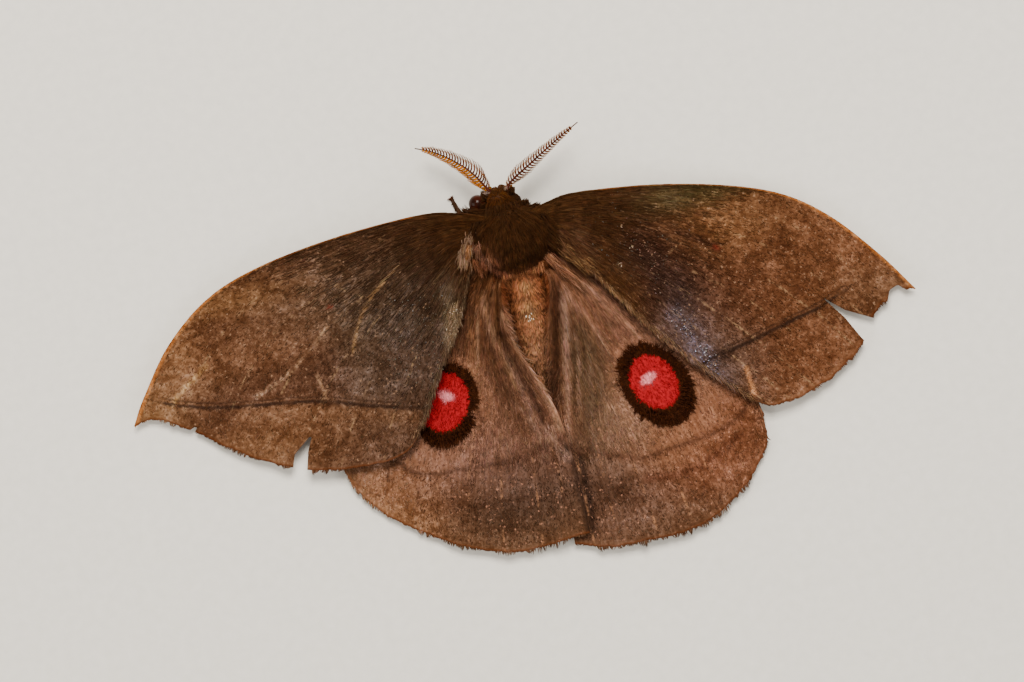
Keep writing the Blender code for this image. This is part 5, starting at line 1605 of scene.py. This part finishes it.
# %% Pale tufts at the wing roots
PALE_TUFTS = {
    # name: paint, count, band from and to, spread of the places, direction, length, fan, droop
    "wing_root_left": ("#a07e64", 360, (-4, 0.6, 6.4), (-5.4, -2.1, 5.9), (0.7, 0.6, 0.14),
        (-0.3, -1, -0.1), (0.7, 1.5), 0.25, 0.2),
    "wing_root_left_gold": ("#a06a42", 110, (-4.5, -0.4, 6.35), (-5, -1.6, 6.1), (0.25, 0.3, 0.1),
        (-0.2, -1, -0.1), (0.6, 1.2), 0.25, 0.2),
    "shoulder_left": ("#946650", 380, (-3.7, -0.8, 6.8), (-2.3, -2.6, 7), (0.55, 0.5, 0.25),
        (-0.1, -1, -0.25), (0.8, 1.7), 0.3, 0.45),
    "waist_left": ("#9c6248", 560, (-3.2, -2.2, 6.3), (-1.1, -3.8, 6.5), (0.5, 0.45, 0.2),
        (0, -1, -0.2), (0.8, 1.6), 0.25, 0.35),
    "hind_root_left": ("#6b3a1f", 420, (-2.4, -4, 5.4), (-1.5, -6.8, 4.9), (0.5, 0.4, 0.15),
        (0.1, -1, -0.1), (0.8, 1.6), 0.2, 0.3),
    "wing_root_right": ("#62402a", 300, (4.8, -0.9, 5.95), (7, -3.4, 5.35), (0.5, 0.5, 0.1),
        (0.65, -0.8, -0.05), (0.8, 1.8), 0.22, 0.2),
    "inner_root_right": ("#85603f", 460, (4.4, -2, 5.9), (7.6, -5.6, 5.05), (0.6, 0.6, 0.1),
        (0.65, -0.8, -0.05), (0.8, 1.8), 0.22, 0.2),
    "waist_right": ("#ae785a", 500, (2.9, -2.8, 6.1), (5.4, -6.4, 4.6), (0.4, 0.5, 0.2),
        (0.55, -0.85, -0.2), (1, 2.6), 0.2, 0.2),
    "first_segment": ("#b2744e", 800, (-1.5, -4.1, 6), (2.5, -4.1, 6), (0.4, 0.4, 0.35),
        (0, -1, 0), (0.6, 1.1), 0.15, 0.12),
    "rump_right": ("#7c4526", 420, (1.2, -3.7, 6.3), (3.2, -3.9, 5.6), (0.4, 0.4, 0.25),
        (0.1, -1, -0.4), (0.6, 1.2), 0.25, 0.4),
    "hind_root_right": ("#6a381c", 360, (3, -4.2, 5.2), (2.7, -7.2, 4.6), (0.4, 0.4, 0.15),
        (-0.1, -1, -0.1), (0.7, 1.4), 0.2, 0.3),
    "notch_left": ("#8a563c", 200, (-4.5, -1.8, 6), (-3.8, -3.3, 5.6), (0.3, 0.3, 0.15),
        (0.1, -1, -0.1), (0.8, 1.5), 0.2, 0.2),
    "pit_left": ("#a0603a", 300, (-1.8, -4.4, 5.6), (-1.3, -5.8, 5.3), (0.3, 0.3, 0.15),
        (0.3, -1, -0.1), (0.8, 1.5), 0.2, 0.2),
    "pit_right": ("#8a4e2c", 220, (2.9, -4.8, 5.2), (2.5, -6.4, 4.9), (0.3, 0.3, 0.15),
        (-0.3, -1, -0.1), (0.8, 1.5), 0.2, 0.2),
    "feeler_left": ("#b09484", 70, (-1.4, 4.35, 5.1), (-1.35, 4.6, 5.1), (0.25, 0.15, 0.2),
        (-0.8, 0.2, 0.3), (0.3, 0.6), 0.3, 0.2),
    "feeler_right": ("#b09484", 50, (0.45, 4.3, 5.1), (0.55, 4.5, 5.2), (0.15, 0.15, 0.2),
        (0.1, 0.8, 0.5), (0.3, 0.6), 0.3, 0.2),
    "lap": ("#b08a78", 90, (-0.6, -21.8, 2.6), (1, -25, 2.6), (0.25, 0.25, 0.1),
        (0.3, -1, 0), (0.4, 0.9), 0.3, 0.3),
}
paths, tints = [], []
for code, count, start, end, *settings in PALE_TUFTS.values():
    shares = draw.random(count)[:, None]
    middles = np.array(start) * (1 - shares) + np.array(end) * shares
    paths.append(gathered(loose_tufts(count, middles, *settings, draw), 5, 0.45, draw))
    mixed = blend(paint("#3c2212"), paint(code), 0.15 + 0.8 * draw.random(count))
    tints.append(varied(mixed, 0.2, draw))
paths, tints = np.concatenate(paths), np.concatenate(tints)
add_coat("pale_tufts", paths, 0.07 * draw.uniform(0.6, 1.3, len(paths)), tints,
         unwrap_body(paths[:, 0]), pale_hair)

# %% [markdown]
# ## Pale scales and painted glints
#
# Some scales on the forewings and on the abdomen lie loose as flat flakes, thinner than the hair,
# strewn over the violet field and the dark roots, and a few bright ones lie singly. Their glints are
# painted: pale paint on the flakes is a painted highlight and, over the violet field, painted sheen.
# Only a faint gloss is left on them, so that none turns into a spark.

# %% Flakes with painted glints
material, add = new_material("silver_scales")
tint = add("Attribute", attribute_name="tint")
place = add("TexCoord", out="Object")
grooves = add("TexNoise", {"Vector": place, "Scale": 1 / (0.12 * MM), "Detail": 1.0})
bump = add("Bump", {"Strength": 0.2, "Distance": 0.02 * MM, "Height": grooves})
shader = add("BsdfPrincipled", {"Base Color": tint, "Roughness": 0.5, "Normal": bump,
                                "Specular IOR Level": 0.12})
add("OutputMaterial", {"Surface": shader})

FLAKES = {
    # name: paint, count, spread, places along a line
    # painted sheen and painted glints: flakes over the violet field
    "violet sheen flakes": ("#544a52", 150, 0.5, [(15.4, -11.4), (16.4, -14.2), (17.4, -16.6), (18.8, -19.2)]),
    "white glint specks": ("#a09698", 50, 0.4, [(15.6, -12), (16.6, -14.8), (17.5, -16.9), (18.8, -18.9)]),
    # painted highlights: the four glints are pale paint on single flakes
    "first glint": ("#c0a088", 4, 0.14, [(11.5, -1.9), (12, -1.9)]),
    "second glint": ("#a08870", 4, 0.16, [(12.4, -4.2), (12.7, -4.7)]),
    "third glint": ("#b09480", 5, 0.14, [(10.8, -5.7), (11.1, -6)]),
    "fourth glint": ("#806c60", 4, 0.18, [(13.8, -9.4), (14.4, -9.6)]),
    "pink root specks": ("#6c4a3a", 34, 0.8, [(12.6, -2.6), (13.4, -4.4), (14.6, -6.6)]),
    "grey root specks": ("#4c4236", 80, 1.8, [(8, -1.6), (12, -4), (15.5, -7.4)]),
    "left cell specks": ("#584e42", 150, 1.8, [(-11, -5), (-13, -9), (-14, -13)]),
    "left pale scales": ("#8a745c", 60, 0.35, [(-7.4, -6.4), (-7.9, -8.1), (-8.6, -10)]),
}
FLAKE_THICKNESS = 0.15
GLINTS = 9
paths, tints, spots = [], [], []
for code, count, spread, points in FLAKES.values():
    flat = smooth_line(points)(draw.random(count)) + draw.normal(0, spread, (count, 2))
    heads = unit(draw.normal(0, 1, (count, 2))) * draw.uniform(0.1, 0.24, count)[:, None]
    flat = flat[:, None] + heads[:, None] * TUFT_STEPS
    x, y = np.moveaxis(flat, -1, 0)
    over = 0.2 + draw.uniform(0.0, 0.12, (count, 1)) * TUFT_STEPS.ravel()
    paths.append(np.stack([x, y, fore_height(x, y) + over], axis=-1))
    tints.append(varied(np.tile(paint(code), (count, 1)), 0.4, draw))
    spots.append(np.clip(np.stack([0.5 + x[:, 0] / 100, -y[:, 0] / 40], axis=-1), 0, 1))
paths, tints, spots = np.concatenate(paths), np.concatenate(tints), np.concatenate(spots)
add_coat("silver_scales", paths, draw.uniform(0.08, 0.14, len(paths)), tints, spots, material,
         thickness=FLAKE_THICKNESS)

# painted highlights: pale paint on a few flakes of the abdomen stands in for glints
glints = np.array([0.0, -9.3, 0.0]) + draw.normal(0, 1, (GLINTS, 3)) * (0.3, 0.2, 0)
centre_x, centre_z, radius = abdomen_at(glints[:, 1])
glints[:, 2] = centre_z + np.sqrt((radius + 0.2) ** 2 - (glints[:, 0] - centre_x) ** 2)
add_coat("abdomen_glints", glints[:, None] + TUFT_STEPS * (0.05, -0.22, 0.0), np.full(GLINTS, 0.12),
         np.tile(paint("#e0d0b8"), (GLINTS, 1)), unwrap_body(glints), material,
         thickness=FLAKE_THICKNESS)

# %% [markdown]
# ## Eyes
#
# A moth's eye is a dome of thousands of lenses, dark brown and glossy. An icosphere has the most
# even faces, so its highlight stays round, and the lenses are bump from Voronoi cells. A real
# lens is 0.03 mm wide; at 0.08 mm they just show as a satin edge to the highlight.

# %% Glossy domes
LENS_WIDTH = 0.08
material, add = new_material("eye_chitin")
place = add("TexCoord", out="Object")
lenses = add("TexVoronoi", {"Vector": place, "Scale": 1 / (LENS_WIDTH * MM)})
blotches = add("TexNoise", {"Vector": place, "Scale": 1 / (0.9 * MM), "Detail": 2.0})
shade = add("ValToRGB", {0: blotches}, [(0.35, paint("#1e0b05")), (0.7, paint("#3c170c"))])
bump = add("Bump", {"Strength": 0.25, "Distance": 0.01 * MM, "Height": lenses})
shader = add("BsdfPrincipled", {"Base Color": shade, "Roughness": 0.14, "Normal": bump,
                                "Specular IOR Level": 0.1})
add("OutputMaterial", {"Surface": shader})


def add_piece(name, shape, material, slot, *nodes):
    """Turns a shape in the moth's millimetres into a finished piece that replaces some nodes."""
    shape.transform(TO_SCENE)
    mesh = as_mesh(name, shape)
    piece = in_scene(name, mesh, material)
    if nodes:
        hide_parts(*nodes)
    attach(piece, "root")
    print(name, len(mesh.polygons), "faces")


for side, centre in EYES.items():
    dome = bmesh.new()
    place = Matrix.Translation(centre)
    bmesh.ops.create_icosphere(dome, subdivisions=5, radius=DOME_RADIUS, matrix=place)
    add_piece("eye_dome_" + side, dome, material, "eye", "eye_" + side)

# %% [markdown]
# ## Feathered antennae
#
# A male's antenna is a shaft with two rows of long branches on each side, and every branch carries
# rows of fine bristles that catch scent. The shaft is a disc that is extruded ring by ring along
# the curve, and the disc left inside at each step is deleted. Branches and bristles are thin
# tapered tufts, made by the same builder as the hair, because there are thousands of them.

# %% A rod that is extruded along a path
def add_rod(shape, points, radii, sides=10):
    """Extrudes a disc along points, with its own radius at each, into a closed rod."""
    points = [Vector(point) for point in points]
    heads = [(b - a).normalized() for a, b in zip(points, points[1:])]
    heads = [heads[0]] + [(a + b).normalized() for a, b in zip(heads, heads[1:])] + [heads[-1]]
    turn = Vector((0, 0, 1)).rotation_difference(heads[0]).to_matrix()
    place = Matrix.Translation(points[0]) @ turn.to_4x4()
    made = bmesh.ops.create_circle(shape, cap_ends=True, radius=radii[0], segments=sides, matrix=place)
    end = made["verts"][0].link_faces[0]
    for k in range(1, len(points)):
        grown = bmesh.ops.extrude_face_region(shape, geom=[end])
        if k > 1:
            bmesh.ops.delete(shape, geom=[end], context="FACES_ONLY")
        end = next(part for part in grown["geom"] if isinstance(part, bmesh.types.BMFace))
        verts = list(end.verts)
        bmesh.ops.translate(shape, verts=verts, vec=points[k] - points[k - 1])
        bend = heads[k - 1].rotation_difference(heads[k]).to_matrix()
        bmesh.ops.rotate(shape, verts=verts, cent=points[k], matrix=bend)
        size = radii[k] / radii[k - 1]
        bmesh.ops.scale(shape, verts=verts, vec=(size, size, size), space=Matrix.Translation(-points[k]))
    bmesh.ops.recalc_face_normals(shape, faces=shape.faces)


# %% Shafts, branches and bristles
ANTENNAE = {
    "left": [(-0.95, 4, 4.8), (-1.7, 5.4, 5.3), (-2.9, 7.2, 5.2), (-4.7, 8.9, 4.9), (-6.5, 10.1, 4.5),
             (-8.1, 10.8, 4.2)],
    "right": [(0.15, 4, 4.8), (1.3, 5.2, 5.3), (3.3, 6.4, 5.4), (5.5, 7.7, 5.3), (7.6, 8.9, 5.1),
              (9.5, 9.9, 4.9)],
}
# the next pairs run from the root of the shaft or branch to its tip; the lean is in degrees
SHAFT_RADII = (0.13, 0.06)
BRANCH_ENDS = (0.07, 0.9)
BRANCH_LEAN = (80.0, 42.0)
BRANCHES = 27
BRISTLES = 12
BRISTLE_LENGTH, BRISTLE_WIDTH = 0.16, 0.035
FEELER_DARK, FEELER_BROWN, FEELER_AMBER, FEELER_PALE = "#2a0d05", "#4e1c06", "#b06812", "#b07626"
ROWS_OF_BRANCHES = [
    # hand, side (1 in front of the shaft, -1 behind it), reach, droop, width, paint
    ("left", 1, 1.7, 0.15, 0.19, FEELER_BROWN),
    ("left", 1, 1.3, 0.6, 0.12, FEELER_AMBER),
    ("left", -1, 0.95, 0.3, 0.19, FEELER_BROWN),
    ("left", -1, 1.25, 0.7, 0.28, FEELER_AMBER),
    ("right", -1, 1.25, 0.3, 0.19, FEELER_BROWN),
    ("right", -1, 0.8, 0.75, 0.12, FEELER_AMBER),
    ("right", 1, 1.0, 0.5, 0.2, FEELER_BROWN),
    ("right", 1, 0.75, 0.9, 0.14, FEELER_AMBER),
]


def branch_length(t):
    """The length of a branch as a share of the longest, by its place on the shaft."""
    return 0.1 + 0.9 * ramp(0.0, 0.22, t) * (1 - np.clip((t - 0.3) / 0.64, 0, 1)) ** 0.75


def branch_paths(axis, side, reach, droop, draw):
    """The paths of one row of branches: they leave the shaft squarely and bend to its tip."""
    t = np.linspace(*BRANCH_ENDS, BRANCHES)
    root, ahead = axis(t), unit(axis(t + 0.01) - axis(t - 0.01))
    out = unit(np.cross(ahead, (0, 0, 1.0))) * side
    shares = np.linspace(0, 1, 6)
    leans = np.radians(BRANCH_LEAN[0] + (BRANCH_LEAN[1] - BRANCH_LEAN[0]) * shares)
    reach = reach * branch_length(t) * (1 + draw.normal(0, 0.03, BRANCHES))
    ways = ahead[:, None] * np.cos(leans)[None, :, None] + out[:, None] * np.sin(leans)[None, :, None]
    ways[:, :, 2] -= droop * shares[None, :] + 0.08
    return root[:, None] + ways * (reach[:, None] * shares[None, :])[:, :, None]


material, add = new_material("feeler_chitin")
place = add("TexCoord", out="Object")
uneven = add("TexNoise", {"Vector": place, "Scale": 1 / (0.3 * MM), "Detail": 2.0})
shade = add("ValToRGB", {0: uneven}, [(0.3, paint(FEELER_DARK)), (0.75, paint(FEELER_BROWN))])
shader = add("BsdfPrincipled", {"Base Color": shade, "Roughness": 0.6, "Specular IOR Level": 0.12})
add("OutputMaterial", {"Surface": shader})

for hand, points in ANTENNAE.items():
    axis = smooth_line(points)
    t = np.linspace(0, 1, 40)
    shaft = bmesh.new()
    radii = SHAFT_RADII[0] + (SHAFT_RADII[1] - SHAFT_RADII[0]) * t
    radii = radii * (1 + 1.2 * hump(t, 0.05, 0.05))
    add_rod(shaft, axis(t), radii)
    add_piece("antenna_shaft_" + hand, shaft, material, "feeler", "antenna_" + hand)

    rows = [row[1:] for row in ROWS_OF_BRANCHES if row[0] == hand]
    branches = np.concatenate([branch_paths(axis, *row[:3], draw) for row in rows])
    count = len(branches)
    row_of = np.repeat(np.arange(len(rows)), BRANCHES)
    tints = varied(np.array([paint(row[4]) for row in rows])[row_of], 0.12, draw)
    widths = np.array([row[3] for row in rows])[row_of]
    spread = np.stack([np.arange(count) / count, np.full(count, 0.2)], axis=-1)
    add_coat("antenna_branches_" + hand, branches, widths, tints, spread, dark_hair)

    places = np.linspace(0.12, 0.95, BRISTLES)
    steps = np.linspace(0, 1, branches.shape[1])
    starts = [[np.interp(places, steps, path[:, k]) for path in branches] for k in range(3)]
    starts = np.stack(starts, axis=-1)
    ahead = unit(branches[:, -1] - branches[:, 0])[:, None]
    square = unit(np.cross(ahead, (0, 0, 1.0)))
    bristles = []
    for side in (-1, 1):
        way = square * side + ahead * 0.5 + np.array([0, 0, -0.25]) + draw.normal(0, 0.15, starts.shape)
        lengths = BRISTLE_LENGTH * draw.uniform(0.7, 1.2, starts.shape[:2])[..., None]
        tips = starts + unit(way) * lengths
        bristles.append(np.stack([starts, (starts + tips) / 2, tips], axis=2).reshape(-1, 3, 3))
    bristles = np.concatenate(bristles)
    count = len(bristles)
    tints = varied(np.tile(paint(FEELER_PALE), (count, 1)), 0.2, draw)
    spread = np.stack([draw.random(count), 0.4 + 0.5 * draw.random(count)], axis=-1)
    add_coat("antenna_bristles_" + hand, bristles, np.full(count, BRISTLE_WIDTH), tints, spread,
             pale_hair)

# %% [markdown]
# ## Claws
#
# Each foot ends in a pair of small hooked claws of bare chitin. They are rods that curve down to
# a point. On the foreleg that shows beside the head the pair is spread like a T.

# %% Pairs of claws
FEET = {
    # leg: the foot's last place, the way it points, and how far the claws spread
    "fore_left": ((-5.5, 5, 0.24), (-0.3, 0.7), 0.36),
    "fore_right": ((6.7, 1.1, 0.24), (0.4, 0.6), 0.25),
    "mid_left": ((-10, -3.4, 0.24), (-0.8, -0.3), 0.25),
    "mid_right": ((10.2, -4.2, 0.24), (0.8, -0.3), 0.25),
    "hind_left": ((-7.3, -12.3, 0.24), (-0.4, -1), 0.25),
    "hind_right": ((8.4, -12, 0.24), (0.5, -1), 0.25),
}
CLAW_RADII = [0.1, 0.09, 0.06, 0.02]
# each claw's places: ahead of the foot, aside as a share of the spread, and up
CLAW_CURVE = [(-0.25, 0.1, 0.0), (-0.05, 0.4, 0.12), (0.03, 0.8, 0.1), (0.0, 1.1, -0.12)]

claws = bmesh.new()
for foot, way, spread in FEET.values():
    ahead = Vector((*way, 0.0)).normalized()
    aside = ahead.cross(Vector((0, 0, 1)))
    for side in (-1, 1):
        points = [Vector(foot) + ahead * a + aside * (side * b * spread) + Vector((0, 0, c))
                  for a, b, c in CLAW_CURVE]
        add_rod(claws, points, CLAW_RADII, sides=8)
add_piece("claws", claws, material, "leg")

# %% [markdown]
# ## The studio
#
# The photograph looks straight down on the moth, turned so that the head points a little to the
# right of the image's top. A long lens from 400 mm away keeps the same flat view. The floor is
# plain and pale, and the light is one large soft key from the head's side, as the flash was, with
# two weak fills, so that the antennae throw their soft shadow behind them.

# %% Camera, floor and lights
VIEW_CENTRE = Vector((-2.2, -11.5, 2.0))
VIEW_WIDTH = 110.1
VIEW_TURN = math.radians(-12)
CAMERA_HEIGHT = 400.0
SENSOR = 36.0

camera = in_scene("camera", bpy.data.cameras.new("camera"))
camera.data.sensor_width = SENSOR
camera.data.lens = SENSOR * CAMERA_HEIGHT / VIEW_WIDTH
camera.data.clip_start = 0.01
camera.location = (VIEW_CENTRE + SHIFT + Vector((0, 0, CAMERA_HEIGHT))) * MM
camera.rotation_euler = (0.0, 0.0, VIEW_TURN)
bpy.context.scene.camera = camera

ground = bmesh.new()
bmesh.ops.create_grid(ground, x_segments=1, y_segments=1, size=2.0)
material, add = new_material("matt_paper")
grain = add("TexNoise", {"Vector": add("TexCoord", out="Object"), "Scale": 900.0})
shade = add("ValToRGB", {0: grain}, [(0.3, paint("#dcd9d2")), (0.7, paint("#e2dfd8"))])
add("OutputMaterial", {"Surface": add("BsdfPrincipled", {"Base Color": shade, "Roughness": 0.8})})
floor = in_scene("floor", as_mesh("floor", ground), material)

WARM_WHITE = (1.0, 0.93, 0.83)
LIGHTS = {
    # name: place, size and power
    "key": ((30, 230, 440), 200, 4.2),
    "fill_left": ((-420, 0, 260), 320, 1.4),
    "fill_right": ((380, -260, 300), 320, 1.6),
}
for name, (place, size, power) in LIGHTS.items():
    lamp = in_scene(name, bpy.data.lights.new(name, "AREA"))
    lamp.data.size = size * MM
    lamp.data.energy = power
    lamp.data.color = WARM_WHITE
    lamp.location = Vector(place) * MM
    lamp.rotation_euler = (-lamp.location).to_track_quat("-Z", "Y").to_euler()
world = bpy.data.worlds.new("studio")
world.use_nodes = True
world.node_tree.nodes["Background"].inputs["Color"].default_value = (1.0, 0.98, 0.95, 1.0)
world.node_tree.nodes["Background"].inputs["Strength"].default_value = 0.35
bpy.context.scene.world = world
print("camera lens", round(camera.data.lens, 1), "mm")
